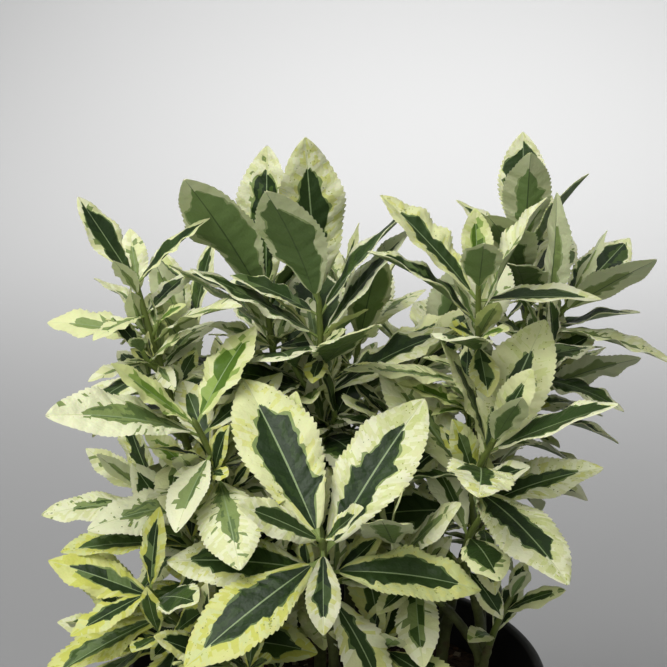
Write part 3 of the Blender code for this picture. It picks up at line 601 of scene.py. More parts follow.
def place_leaf(wish, room, blades, shortest=SHORTEST_LEAF, reach=None, every=1):
    """The first way of giving way that keeps the leaf clear of other masses and of its own mass's blades,
    and inside its reach where one is given, or else None. A leaf is tried at full length first."""
    for turn, opening, share in GIVE_WAY[::every]:
        if wish.length * share < shortest:
            break
        leaf = leaf_from(wish, turn, opening, share)
        points, faces = leaf_solid(leaf, room=LEAF_ROOM)
        if reach is not None and (np.any(points < reach[0]) or np.any(points > reach[1])):
            continue
        if room.blocked(points, faces, other_than=wish.mass):
            continue
        blade = leaf_solid(leaf, blade_only=True)
        if blades.blocked(*blade, own=wish.mass):
            continue
        room.add(points, faces, wish.mass)
        blades.add(*blade, wish.mass)
        return leaf
    return None


def side_twig(shoot, twig, node, draw):
    """A short side shoot from the axil of a pair, and the wishes for its own two pairs."""
    start, axis = twig_node(twig, node / (shoot.pairs - 1))
    turn = pair_turn(shoot, node, draw.randrange(2)) + draw.uniform(*SIDE_TURN)
    outward = turned(across(axis), axis, turn)
    ahead = unit(axis * SIDE_AHEAD + outward * SIDE_OUT)
    length = draw.uniform(*SIDE_LENGTHS)
    bend = start + ahead * length * SIDE_BEND
    path = line_path([start, bend, start + unit(ahead + UP * SIDE_RISE) * length])
    wishes = []
    for pair, (share, opening, size) in enumerate(SIDE_PAIRS):
        place, heading = path.at(share * path.length), path.heading(share * path.length)
        for sidedness in range(2):
            way = turn + 90 * pair + 180 * sidedness + draw.uniform(*SIDE_LEAVES.turn)
            wide = opening + draw.uniform(*SIDE_LEAVES.opening)
            long = shoot.leaf * MM * size * draw.uniform(*SIDE_LEAVES.size)
            key = f"{shoot.name}-side-{node}-{pair}-{sidedness}"
            wishes.append(make_wish(shoot, place, heading, way, wide, long, key, SIDE_LEAVES, draw))
    return Twig(shoot.name, path, *SIDE_RADII), wishes


def wall_radius(height):
    """Outside radius of the pot's wall, below its rim, at a height: a straight taper."""
    top = RIM_RADIUS - RIM_PROUD
    return FOOT_RADIUS + (top - FOOT_RADIUS) * height / POT_HEIGHT


def circle(count):
    """Points evenly round a circle of radius 1, from +X towards +Y."""
    angles = np.linspace(0, 2 * math.pi, count, endpoint=False)
    return np.stack([np.cos(angles), np.sin(angles)], 1)


def level_ring(count, radius, height):
    """Points evenly round the pot's axis, at a radius and a height."""
    return np.column_stack([circle(count) * radius, np.full(count, height)])


def pot_walls():
    """Rings round the pot's rim and over the soil that leaves keep clear of."""
    outside, lip, soil = RIM_RADIUS + LEAF_ROOM, POT_HEIGHT + LEAF_ROOM, SOIL_TOP + LEAF_ROOM
    inside = RIM_RADIUS - RIM_PROUD - POT_WALL
    made = []
    for low_radius, low, high_radius, high in (
        (wall_radius(0), 0.0, outside, lip),
        (outside, lip, inside, lip),
        (inside, lip, SOIL_OPEN_RADIUS, soil),
    ):
        low_ring = level_ring(WALL_SIDES, low_radius, low)
        high_ring = level_ring(WALL_SIDES, high_radius, high)
        made.append((np.concatenate([low_ring, high_ring]), ring_faces(0, WALL_SIDES)))
    return made


def grow(solids_in_the_way):
    """The whole plant: each shoot's path, the twigs and the leaves. Main twigs stand first, leaves then find
    room round them, the leaves that are set and the shoots at the top of the list first, and side twigs come
    last."""
    paths = shoot_paths()
    room, blades = Room(), Room()
    for points, faces in solids_in_the_way:
        room.add(points, faces, None)
    main_twigs, twigs, leaves = {}, [], []
    for shoot in SHOOTS:
        path = paths[shoot.name]
        split = leafy_from(shoot, path)
        low = STEM_RADIUS if shoot.carrier == "soil" else BOUGH_RADIUS
        limb = path.stretch(0, split, STEM_POINTS)
        room.add(*tube_shell(limb, low + LEAF_ROOM, TWIG_RADIUS + LEAF_ROOM), None)
        line = line_path(path.stretch(split + GAP, path.length, TWIG_POINTS))
        twig = Twig(shoot.name, line, TWIG_RADIUS, APEX_RADIUS)
        room.add(*twig.shell(), shoot.name)
        main_twigs[shoot.name] = twig
        twigs.append(twig)
    draws = {shoot.name: random.Random(shoot.name) for shoot in SHOOTS}
    for set_ones in (True, False):
        for shoot in SHOOTS:
            middle = shoot.pairs * FIRST_PLACED
            for node in sorted(range(shoot.pairs), key=lambda node: abs(node - middle)):
                if (node < len(SET_LEAVES.get(shoot.name, ()))) != set_ones:
                    continue
                for sidedness in range(2):
                    wish = wanted_leaf(shoot, main_twigs[shoot.name], node, sidedness, draws[shoot.name])
                    leaves.append(place_leaf(wish, room, blades))
    for shoot in SHOOTS:
        draw = random.Random("side twigs of " + shoot.name)
        for number in range(shoot.side_twigs):
            twig, wishes = side_twig(shoot, main_twigs[shoot.name], shoot.pairs - 2 - number, draw)
            if room.blocked(*twig.shell(), other_than=shoot.name):
                continue
            room.add(*twig.shell(), shoot.name)
            twigs.append(twig)
            leaves += [place_leaf(wish, room, blades) for wish in wishes]
    return paths, twigs, [leaf for leaf in leaves if leaf is not None], room, blades


def pot_profile():
    """The pot's wall from the middle of its floor up the inside, over the rim and down to the underside.
    The underside stands on a rim at its edge and on a pad in its middle, where it is flat."""
    floor = BASE_RISE + POT_WALL
    collar = POT_HEIGHT - RIM_DEPTH
    edge = wall_radius(0)
    ring = edge - FOOT_RING_WIDTH
    mouth = wall_radius(POT_HEIGHT) - POT_WALL
    return [
        (0, POT_WALL),
        (BASE_PAD_RADIUS - PAD_SLOPE / 2, POT_WALL),
        (BASE_PAD_RADIUS + PAD_SLOPE, floor),
        (ring - PAD_SLOPE, floor),
        (edge - POT_WALL - EDGE_EASE, POT_WALL),
        (mouth, POT_HEIGHT - LIP_EASE),
        (mouth + LIP_EASE, POT_HEIGHT),
        (RIM_RADIUS - EDGE_EASE, POT_HEIGHT),
        (RIM_RADIUS, POT_HEIGHT - LIP_EASE),
        (RIM_RADIUS - COLLAR_TAPER, collar),
        (wall_radius(collar), collar - EDGE_EASE / 2),
        (edge, 0.0),
        (ring, 0.0),
        (ring - FOOT_RING_SLOPE, BASE_RISE),
        (BASE_PAD_RADIUS + PAD_SLOPE, BASE_RISE),
        (BASE_PAD_RADIUS, 0.0),
        (0, 0.0),
    ]


def soil_profile():
    """The soil from its top down to the pot's floor, a gap inside the wall."""
    inside = POT_WALL + GAP + SOIL_SHY
    floor = BASE_RISE + POT_WALL + GAP
    return [
        (0, SOIL_TOP),
        (wall_radius(SOIL_TOP) - inside, SOIL_TOP),
        (wall_radius(floor) - inside - SOIL_FOOT_TAPER, floor),
        (0, floor),
    ]


# The camera, which looks along +Y and down on the crown as the photograph does
LENS = 80
SENSOR = 36
CAMERA_PITCH = 17
CAMERA_AIM = (0, 0, 307 * MM)
CAMERA_DISTANCE = 620 * MM

# Finer growth: spurs from the axils of a shoot's older pairs, and pairs of leaves down its bare limb
SPUR_LENGTHS = (5 * MM, 10 * MM)
SPUR_RADIUS = 0.7 * MM
SPUR_FOOT = 1.3
SPUR_PAIRS = ((1.0, 24, 0.32), (0.55, 62, 0.4))
SPUR_ABOVE_PAIR = 0.12
SPUR_TURN = (-24, 24)
SPUR_OUT = (0.5, 1.0)
FIRST_SPUR_PAIR = 3
SPURS_FROM = {"front_low": 4}
SHORTEST_FINE_LEAF = 11 * MM
FINE_WAYS = 5
LIMB_NODE_STEP = 15 * MM
LIMB_STEP_SHARES = (0.8, 1.2)
LIMB_FIRST_BELOW = 4 * MM
LIMB_LEAVES_ABOVE = 172 * MM
LIMB_LEAF_SHARE = 0.62
LIMB_OPENING = 82

# A fine leaf's rows, at shares of its length: the stalk, the smooth base, the teeth, and the tip. In a tooth
# each row has a place, from one notch to the next, and a height, from the notch's to the point's
STALK_SHARES = (0.0, 0.045, STALK_END)
BASE_SHARES = (0.125, 0.17, 0.22)
TEETH_FROM = 0.27
TEETH_TO = 0.965
TIP_SHARES = (0.982, 0.996)
LARGE_TOOTH_ROWS = ((0.02, 0.0), (0.45, 0.66), (0.84, 1.0))
SMALL_TOOTH_ROWS = ((0.04, 0.0), (0.8, 1.0))
UNDER_COLUMNS = 6

# Least length of the leaves on each grid, its teeth, their rows, and columns of the centre and the margin
LARGE_LEAF = 50 * MM
LEAF_GRIDS = (
    (LARGE_LEAF, (18, LARGE_TOOTH_ROWS, 3, 5)),
    (27 * MM, (13, SMALL_TOOTH_ROWS, 1, 2)),
    (0.0, (9, SMALL_TOOTH_ROWS, 1, 1)),
)

# A fine leaf's outline: powers that place its widest part and blunt its tip, the foot's wedge and the teeth,
# which are deepest where the least is left to the tip
WIDEST_POWER = 1.22
BLUNTNESS = 0.8
SLIMNESS = 0.97
WEDGE = 0.3
TOOTH_DEPTH = 0.074
TOOTH_END = 1.02
TOOTH_FADE = 6
TOOTH_LEAST = 0.3
TOOTH_SIZES = (0.8, 1.25)
BLADE_FROM = 0.06
BLADE_FULL = 0.11
STALK_FADE = 12

# Its surface: how far veins sweep forward and dip, how far it bends back and crinkles, and its thickness
VEINS = 7
VEINS_BELOW_TEETH = 3
VEIN_TONGUE = 0.55
VEIN_REACH = 0.45
VEIN_SLANT = 0.13
SLANT_FROM = 0.12
VEIN_RELIEF = 0.008
RECURVE = 0.17
RECURVE_POWER = 2.6
RECURVE_SIZES = (0.3, 1.5)
CRINKLE = 0.026
CRINKLE_WAVES = (2, 4.5)
CRINKLE_SIZES = (0.4, 1.3)
BLADE_THICK = 0.42 * MM
STALK_THICK = 1.2 * MM
THICK_SHARES = (0, 0.1, 0.2)
THICKNESS = (STALK_THICK, STALK_THICK * 0.8, BLADE_THICK)
STALK_HALF = 0.75 * MM
KEEL = 0.35 * MM
KEEL_FROM = 0.1
KEEL_ABOVE = 0.3
RIB_HALF = 0.024
UNDER_RIB = RIB_HALF * 1.2
NEAR_RIB = RIB_HALF * 1.3
AT_MARGIN = 0.999

# Its green centre: where it starts and ends along the leaf, how it widens and closes, how it waves, and the
# tongues and jags of its edge, as shares of the half width
CENTRE_STARTS = (-0.06, 0.04)
CENTRE_ENDS = (0.84, 0.99)
WIDE_END = 0.3
FAN_LENGTH = 0.22
CLOSE_LENGTH = 0.28
CLOSE_SHORTER = 0.2
FRONT_MARGIN = 0.8
LEAST_SWELL = 0.02
RAGGED_GAIN = 4
WAVE_SIZE = 0.3
WAVES_ALONG = 7
TONGUE_SIZE = 0.19
TONGUE_LEAST = 0.09
JAG_SIZE = 0.032
MOST_CENTRE = 0.88
SIDE_SHARES = (0.85, 1.15)

# The paler step beside the centre, how unevenly corners stand, how long streaks are, and the specks
STEP_WIDTH = 0.05
STEP_WAVE = 0.08
STEP_SPACING = 3
STEP_ENDS = (0.012, 0.2)
MOST_STEP = 0.92
STRAY = 0.35
LOOSE_FROM = 0.2
STREAK_ROWS = 8
SPECK_FREE_ROWS = 6
SPECK_CLUSTERS = 1.4
SPECK_OUTERMOST = 0.2
SPECK_SIZES = (0.15 * MM, 0.36 * MM)
SPECK_LONG = 1.3
SPECK_HEIGHT = 0.08 * MM
SPECK_COLOURS = ("speck_lime", "speck_lime", "speck_lime", "speck_green")
LENS_FACES = np.array(
    [[1, 0, 4], [2, 1, 4], [3, 2, 4], [0, 3, 4], [0, 1, 5], [1, 2, 5], [2, 3, 5], [3, 0, 5]]
)
LEAF_SHARP = 48

# Noises: waves that are added up, their lengths as shares and their span, and how far drawn values stray
RIPPLE_WAVES = 6
RIPPLE_LENGTHS = (0.6, 1.5)
RIPPLE_SPAN = 2.6
KNOT_STRAY = 0.55

# Bark: sides of its section, rows, swollen nodes with leaf scars, a squarish section, furrows and knobs
BARK_SIDES = 16
BARK_STEP = 1.3 * MM
LEAST_ROWS = 4
LIMB_POINTS = 30
SUNK = 3 * MM
BOUGH_FLARE = 1.25
NODE_SWELLING = 0.16
NODE_EVERY = 17 * MM
NODE_HALF = 1.6 * MM
BARK_SQUARE = 0.045
FURROW = 0.035
FURROW_SIZE = 1.4 * MM
FURROW_STRETCH = np.array([1, 1, 0.2])
KNOB = 0.05
KNOB_SIZE = 7 * MM

# Twigs: four-angled, with a pointed bud
TWIG_SIDES = 8
TWIG_STEP = 2.2 * MM
TWIG_SQUARE = 0.06
TWIG_FOOT = 1.2 * MM
BUD_LENGTH = 2.2
BUD_BLUNT = 0.02

# The pot and the soil. The soil's relief is noise in waves of three sizes, each with its share of the height
POT_AROUND = 192
POT_ROUNDING = 0.9 * MM
MOST_OF_SIDE = 0.45
POT_SHARP = 40
DRAIN_AROUND = 32
SOIL_RINGS = 64
SOIL_RING_POWER = 0.75
SOIL_AROUND = 220
SOIL_RELIEF = 1.1 * MM
SOIL_WAVES = ((0.6, 26 * MM), (0.35, 8 * MM), (0.2, 3 * MM))
SOIL_EDGE_DROP = 1.5 * MM
HEAP_HEIGHT = 1.2 * MM
HEAP_RADIUS = 7 * MM
CRUMBS = 900
CRUMB_SEED = 8
CRUMB_REACH = 0.97
CRUMB_SIZES = (0.7, 2.3)
CRUMB_SIDES = (0.5, 1.0)
CRUMB_FLATNESS = 0.6
CRUMB_CORNERS = (0.7, 1.15)
CRUMB_SHARP = 30
BOX_CORNERS = np.array([[i, j, k] for k in (-1, 1) for j in (-1, 1) for i in (-1, 1)], float)
BOX_FACES = np.array(
    [[0, 2, 3, 1], [4, 5, 7, 6], [0, 1, 5, 4], [2, 6, 7, 3], [0, 4, 6, 2], [1, 3, 7, 5]]
)

# The stage: a round bowl of a studio, so that it looks the same from all sides
STAGE_FLOOR = 1.3
STAGE_BEND = 1.7
STAGE_HEIGHT = 3.2
STAGE_AROUND = 128
STAGE_FLAT_RINGS = 6
STAGE_BEND_RINGS = 40
STAGE_GREY = (0.362, 0.362, 0.362, 1)
AIR_LIGHT = 0.52

# Soft lamps: place, aim, size in metres, power in watts and spread in degrees
LAMPS = {
    "soft_above": ((-0.32, -0.3, 1.05), (0, 0, 0.3), 0.55, 5.35, 180),
    "soft_front": ((-0.5, -1.2, 0.8), (0, 0, 0.25), 0.9, 2.6, 130),
    "soft_backdrop": ((0.2, 1.84, 1.5), (0.2, 1.84, 0), 1.8, 23.5, 88),
}

# Plain base colours that are dealt out to the faces of leaves, as sRGB values from 0 to 255
LEAF_COLOURS = {
    "deep_green": (39, 58, 27),
    "dark_green": (50, 71, 32),
    "green": (66, 89, 38),
    "grey_green": (101, 122, 71),
    "pale_green": (135, 153, 91),
    "young_green": (84, 114, 36),
    "lime": (106, 136, 50),
    "bright_lime": (146, 170, 84),
    "lime_cream": (214, 221, 150),
    "cream": (236, 239, 197),
    "warm_cream": (225, 229, 171),
    "pale_yellow": (219, 222, 140),
    "yellow": (208, 211, 102),
    "rib_green": (146, 166, 118),
    "rib_cream": (206, 212, 156),
    "under_green": (124, 149, 90),
    "under_deep": (101, 125, 74),
    "under_step": (165, 180, 126),
    "under_cream": (216, 222, 178),
    "under_rib": (84, 104, 66),
    "stalk_green": (146, 164, 92),
    "speck_lime": (174, 184, 84),
    "speck_green": (132, 144, 84),
}
LEAF_SLOTS = {name: number for number, name in enumerate(LEAF_COLOURS)}

# Bark and plastic in patches: places from 0 to 1 in a noise, and the colour there
BARK_COLOURS = ((0.3, (62, 66, 34)), (0.46, (84, 92, 46)), (0.58, (104, 112, 62)), (0.72, (96, 84, 56)))
PLASTIC_COLOURS = ((0.35, (17, 17, 18)), (0.6, (24, 24, 25)), (0.78, (44, 42, 39)))

# The colours of twigs, main and fine, and of soil and its crumbs: dark and light, at two places in a noise
SOIL_PLACES = (0.36, 0.7)
TWIG_COLOURS = {"twig_main": (108, 122, 58), "twig_fine": (128, 146, 76)}
SOIL_COLOURS = ((26, 19, 14), (74, 56, 42))
CRUMB_COLOURS = {
    "crumb_peat": ((30, 22, 16), (80, 60, 44)),
    "crumb_bark": ((58, 40, 28), (112, 84, 60)),
    "crumb_pale": ((96, 84, 68), (150, 138, 118)),
}


class Kind(NamedTuple):
    """How one kind of leaf is coloured. Where several colours stand, one is drawn for each leaf."""

    centre: tuple
    patch: tuple
    step: tuple
    inner: tuple
    outer: tuple
    fleck: tuple
    under: tuple
    under_edge: tuple
    flecks: float  # share of the margin's faces that are blotched
    patches: float  # share of the centre's faces that are paler
    green: tuple  # least and greatest share of the half width that the centre takes
    specks: float  # specks in a large leaf's margin


KIND_ZONES = ("centre", "patch", "step", "inner", "outer", "fleck", "under", "under_edge")
MATURE = Kind(
    centre=("deep_green", "dark_green", "dark_green"),
    patch=("green", "dark_green"),
    step=("grey_green", "pale_green"),
    inner=("cream", "warm_cream"),
    outer=("cream", "warm_cream"),
    fleck=("pale_green", "lime_cream"),
    under=("under_green", "under_deep"),
    under_edge=("under_cream",),
    flecks=0.05,
    patches=0.3,
    green=(0.42, 0.64),
    specks=12,
)
MOTTLED = Kind(
    centre=("dark_green", "green", "deep_green"),
    patch=("grey_green", "dark_green"),
    step=("pale_green", "grey_green"),
    inner=("warm_cream", "lime_cream"),
    outer=("pale_yellow", "lime_cream"),
    fleck=("yellow", "pale_yellow"),
    under=("under_green",),
    under_edge=("under_cream", "lime_cream"),
    flecks=0.35,
    patches=0.3,
    green=(0.36, 0.54),
    specks=70,
)
KINDS = {
    "mature": MATURE,
    "narrow_cream": MATURE._replace(
        patch=("green", "grey_green"),
        outer=("cream",),
        fleck=("pale_green",),
        flecks=0.04,
        green=(0.6, 0.78),
        specks=6,
    ),
    "broad_cream": MATURE._replace(
        centre=("deep_green", "dark_green"),
        inner=("warm_cream", "cream"),
        outer=("warm_cream",),
        fleck=("pale_yellow", "lime_cream"),
        under=("under_green",),
        flecks=0.2,
        patches=0.25,
        green=(0.3, 0.46),
        specks=55,
    ),
    "young": MATURE._replace(
        centre=("lime", "young_green"),
        patch=("bright_lime", "lime"),
        step=("bright_lime",),
        inner=("lime_cream",),
        outer=("lime_cream", "warm_cream"),
        fleck=("bright_lime",),
        under=("pale_green",),
        under_edge=("lime_cream",),
        green=(0.3, 0.44),
        specks=6,
    ),
    "mottled": MOTTLED,
    "yellowed": MOTTLED._replace(
        inner=("pale_yellow", "lime_cream"),
        outer=("pale_yellow",),
        fleck=("yellow",),
        flecks=0.45,
        green=(0.38, 0.56),
        specks=50,
    ),
    "pale": MATURE._replace(
        centre=("grey_green", "green"),
        patch=("pale_green",),
        step=("pale_green",),
        inner=("warm_cream", "cream"),
        fleck=("pale_green",),
        under=("pale_green",),
        patches=0.5,
        green=(0.14, 0.34),
        specks=10,
    ),
}

# Which kinds a shoot's leaves are, by share, otherwise the common mix, and the mix of the finest leaves
COMMON_MIX = (("mature", 0.36), ("broad_cream", 0.34), ("pale", 0.27), ("young", 0.03))
MIXES = {
    "front_low": (("broad_cream", 0.8), ("mottled", 0.2)),
    "left_low": (("mottled", 0.5), ("yellowed", 0.2), ("mature", 0.3)),
    "left_low_front": (("yellowed", 0.5), ("mottled", 0.3), ("mature", 0.2)),
    "bottom_left": (("yellowed", 0.6), ("mottled", 0.2), ("mature", 0.2)),
    "bottom_front": (("mottled", 0.4), ("yellowed", 0.3), ("mature", 0.3)),
    "bottom_centre": (("mottled", 0.5), ("young", 0.2), ("broad_cream", 0.3)),
    "centre_low": (("mottled", 0.4), ("young", 0.2), ("mature", 0.4)),
    "left_middle": (("broad_cream", 0.3), ("young", 0.1), ("pale", 0.6)),
    "left_upper": (("narrow_cream", 0.3), ("mature", 0.2), ("pale", 0.5)),
    "crown_left": (("narrow_cream", 0.7), ("mature", 0.3)),
    "crown_middle": (("narrow_cream", 0.7), ("mature", 0.3)),
    "crown_right": (("narrow_cream", 0.6), ("mature", 0.4)),
    "right_far": (("narrow_cream", 0.4), ("pale", 0.4), ("mature", 0.2)),
    "right_upper": (("narrow_cream", 0.3), ("mature", 0.2), ("pale", 0.3), ("young", 0.2)),
}
FINE_MIX = (("young", 0.14), ("pale", 0.46), ("mottled", 0.3), ("mature", 0.1))

# Leaves whose kind the photograph shows, from a shoot's tip down, two to a node
SHOWN_KINDS = {
    "left_middle": ("young", "young", "pale", "broad_cream"),
    "left_upper": ("mature", "mature", "pale", "pale"),
    "crown_left": ("narrow_cream", "mature"),
    "crown_middle": ("narrow_cream", "broad_cream"),
    "crown_right": ("mature", "broad_cream"),
    "right_upper": ("young", "narrow_cream", "broad_cream"),
    "front_low": (None, None, "broad_cream", "broad_cream", "broad_cream", "mottled", None, "mottled"),
}
SET_KINDS = {
    f"{name}-{place // 2}-{place % 2}": kind
    for name, kinds in SHOWN_KINDS.items()
    for place, kind in enumerate(kinds)
    if kind
}

# Leaves that the photograph shows turned more to the front than their solids are: their twist in degrees
FINE_TWISTS = {"left_middle-1-0": -32, "left_upper-3-1": -26, "left_back_low-1-1": -24}


def draw_from(mix, draw):
    """One name from pairs of name and share."""
    at = draw.random() * sum(share for _, share in mix)
    for name, share in mix:
        at -= share
        if at <= 0:
            return name
    return mix[-1][0]


def linear(colour):
    """An sRGB colour of 0 to 255 as the linear values that a shader takes, and full opacity."""
    channels = [value / 255 for value in colour]
    return (*(c / 12.92 if c <= 0.04045 else ((c + 0.055) / 1.055) ** 2.4 for c in channels), 1)


def band_quads(rows, around):
    """Faces between rows of points that each go round anticlockwise, seen from the last row's end."""
    low = np.arange(rows - 1)[:, None] * around
    here = np.arange(around)
    after = np.roll(here, -1)
    quads = np.stack([low + here, low + after, low + around + after, low + around + here], -1)
    return quads.reshape(-1, 4)


def fan(ring, centre):
    """Triangles between a ring of points and one point."""
    return np.stack([ring, np.roll(ring, -1), np.full(len(ring), centre)], -1)


class Joined:
    """Gathers surfaces, each an array of points and arrays of faces, into one mesh."""

    def __init__(self):
        """Nothing is gathered yet."""
        self.points, self.corners, self.counts, self.slots, self.total = [], [], [], [], 0

    def add(self, points, *groups):
        """Each group is an array with one row of corners for each face, and the slot of each face."""
        for faces, slots in groups:
            faces = np.asarray(faces)
            self.corners.append((faces + self.total).ravel())
            self.counts.append(np.full(len(faces), faces.shape[1]))
            self.slots.append(np.broadcast_to(slots, len(faces)))
        self.points.append(points)
        self.total += len(points)

    def piece(self, name, materials, slot, nodes=(), sharp=None):
        """The gathered mesh as a piece of the plant, or of the stage where it has no slot. Materials that no
        face has are left out, and edges sharper than so many degrees stay sharp."""
        used, numbers = np.unique(np.concatenate(self.slots), return_inverse=True)
        counts = np.concatenate(self.counts)
        corners = np.concatenate(self.corners)
        mesh = bpy.data.meshes.new(name)
        mesh.vertices.add(self.total)
        mesh.vertices.foreach_set("co", np.concatenate(self.points).astype(np.float32).ravel())
        mesh.loops.add(len(corners))
        mesh.loops.foreach_set("vertex_index", corners.astype(np.int32))
        mesh.polygons.add(len(counts))
        mesh.polygons.foreach_set("loop_start", (np.cumsum(counts) - counts).astype(np.int32))
        mesh.polygons.foreach_set("material_index", numbers.astype(np.int32))
        mesh.polygons.foreach_set("use_smooth", np.ones(len(counts), bool))
        for number in used:
            mesh.materials.append(materials[number])
        mesh.update(calc_edges=True)
        if sharp is not None:
            mesh.set_sharp_from_angle(angle=math.radians(sharp))
        made = bpy.data.objects.new(name, mesh)
        bpy.context.scene.collection.objects.link(made)
        if slot is None:
            return made
        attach(made, "root")
        if nodes:
            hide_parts(*nodes)
        return made


def single_piece(name, surface, material, slot, nodes=(), sharp=None):
    """A piece from one surface, points and then groups of faces, in one material."""
    points, *groups = surface
    joined = Joined()
    joined.add(points, *((faces, 0) for faces in groups))
    return joined.piece(name, [material], slot, nodes, sharp)


def ripple(points, size, seed):
    """Smooth noise of about -1 to 1 at points in space: sine waves in drawn directions, whose lengths lie
    round the size, added up."""
    draw = np.random.default_rng(seed)
    directions = draw.normal(size=(RIPPLE_WAVES, 3))
    directions /= np.linalg.norm(directions, axis=1)[:, None]
    rates = 2 * np.pi / (size * draw.uniform(*RIPPLE_LENGTHS, RIPPLE_WAVES))
    phases = draw.uniform(0, 2 * np.pi, RIPPLE_WAVES)
    return np.sin(points @ (directions * rates[:, None]).T + phases).sum(-1) / RIPPLE_SPAN


class Grid(NamedTuple):
    """The rows and columns of the fine leaves of one size. From the midrib out, each side has the rib's
    edge, some columns to the edge of the green centre, the far edge of a paler step, and some columns to the
    margin. Six more columns run underneath: the far edge, the centre's and the rib's on each side."""

    share: np.ndarray  # of the leaf's length, at the margin
    tooth: np.ndarray  # 0 in a notch, 1 on a tooth's tip, and a half where the margin is smooth
    vein: np.ndarray  # number of the vein that the row lies nearest to
    tongue: np.ndarray  # 1 on a vein and 0 halfway to the next
    toothed: np.ndarray  # 1 where there are teeth
    centre: int
    margin: int
    quads: np.ndarray  # for each row, those of the face and then seven underneath
    caps: np.ndarray


def leaf_grid(teeth, tooth_rows, centre, margin):
    """The grid of leaves with that many teeth and columns on each side."""
    places, heights = np.array(tooth_rows).T
    step = (TEETH_TO - TEETH_FROM) / teeth
    along = (TEETH_FROM + step * (np.arange(teeth)[:, None] + places)).ravel()
    first, last = np.array(STALK_SHARES + BASE_SHARES), np.array(TIP_SHARES)
    share = np.concatenate([first, along, last])
    tooth = np.concatenate([np.full(len(first), 0.5), np.tile(heights, teeth), np.full(len(last), 0.5)])
    toothed = np.concatenate([np.zeros(len(first)), np.ones(len(along)), np.zeros(len(last))])
    beat = (share - TEETH_FROM) / (TEETH_TO - TEETH_FROM) * VEINS + VEINS_BELOW_TEETH
    vein = beat.astype(int)
    tongue = np.clip(1 - np.abs(beat - vein - VEIN_TONGUE) / VEIN_REACH, 0, 1)
    top = 2 * (2 + centre + margin)
    columns = top + UNDER_COLUMNS
    low = np.arange(len(share) - 1)[:, None] * columns
    left = np.arange(top - 1)
    face = np.stack([low + left, low + columns + left, low + columns + left + 1, low + left + 1], -1)
    ring = np.array([0, *range(top, columns), top - 1])
    a, b = ring[:-1], ring[1:]
    under = np.stack([low + a, low + b, low + columns + b, low + columns + a], -1)
    cap = np.array([*range(top), *range(columns - 1, top - 1, -1)])
    caps = np.stack([cap, cap[::-1] + (len(share) - 1) * columns])
    return Grid(share, tooth, vein, tongue, toothed, centre, margin, np.concatenate([face, under], 1), caps)


def smooth_steps(count, draw, spacing):
    """Smooth noise of about -1 to 1 along a line of rows: drawn values, one in every few rows, joined up."""
    knots = draw.normal(0, KNOT_STRAY, int(count / spacing) + 3)
    return np.interp(np.arange(count) / spacing, np.arange(len(knots)), knots)


def clouds(rows, columns, draw):
    """Blotchy noise over a grid: drawn values, each averaged with its neighbours."""
    drawn = draw.normal(0, 1, (rows + 2, columns + 2))
    drawn = drawn[:, :-2] + 2 * drawn[:, 1:-1] + drawn[:, 2:]
    return (drawn[:-2] + 2 * drawn[1:-1] + drawn[2:]) / 6


def streaks(rows, columns, draw):
    """Noise in long streaks down a grid: drawn values once in STREAK_ROWS rows, joined up between."""
    knots = draw.normal(0, 1, (rows // STREAK_ROWS + 2, columns))
    at = np.arange(rows) / STREAK_ROWS
    low = at.astype(int)
    return knots[low] + (at - low)[:, None] * (knots[low + 1] - knots[low])


def centre_edge(grid, green, draw):
    """How far the green centre reaches on one side, as a share of the half width. It fans out from the foot.
    Past the middle the margin keeps a steady width while the blade narrows, and the green closes short of the
    tip. A slow wave changes it, along every vein a tongue points forward, and each row has its own jag."""
    count = len(grid.share)
    first = draw.uniform(*CENTRE_STARTS)
    last = draw.uniform(*CENTRE_ENDS) + WIDE_END * max(0, green - 0.5)
    fan_out = np.clip((grid.share - first) / FAN_LENGTH, 0, 1) ** 0.5
    close = np.clip((last - grid.share) / (CLOSE_LENGTH - CLOSE_SHORTER * green), 0, 1) ** 0.5
    wave = 1 + WAVE_SIZE * smooth_steps(count, draw, count / WAVES_ALONG)
    inset = 1 - (1 - green) * FRONT_MARGIN / np.maximum(blade_swell(grid.share), LEAST_SWELL)
    body = np.where(grid.share < 0.5, green, np.clip(inset, 0, green))
    tongues = np.abs(draw.normal(0, TONGUE_SIZE, grid.vein.max() + 1)) - TONGUE_LEAST
    ragged = tongues[grid.vein] * grid.tongue + draw.normal(0, JAG_SIZE, count)
    edge = np.pad((body * wave + ragged * np.minimum(1, body * RAGGED_GAIN)) * fan_out * close, 1, "edge")
    return np.clip((edge[:-2] + 2 * edge[1:-1] + edge[2:]) / 4, UNDER_RIB, MOST_CENTRE)


def loose_columns(count, columns, draw):
    """Places from 0 to 1 of the corners in each row, evenly spaced, but the inner ones stray a little."""
    places = np.linspace(0, 1, columns + 1) + np.zeros((count, 1))
    places[:, 1:-1] += draw.uniform(-STRAY, STRAY, places[:, 1:-1].shape) / columns
    return places


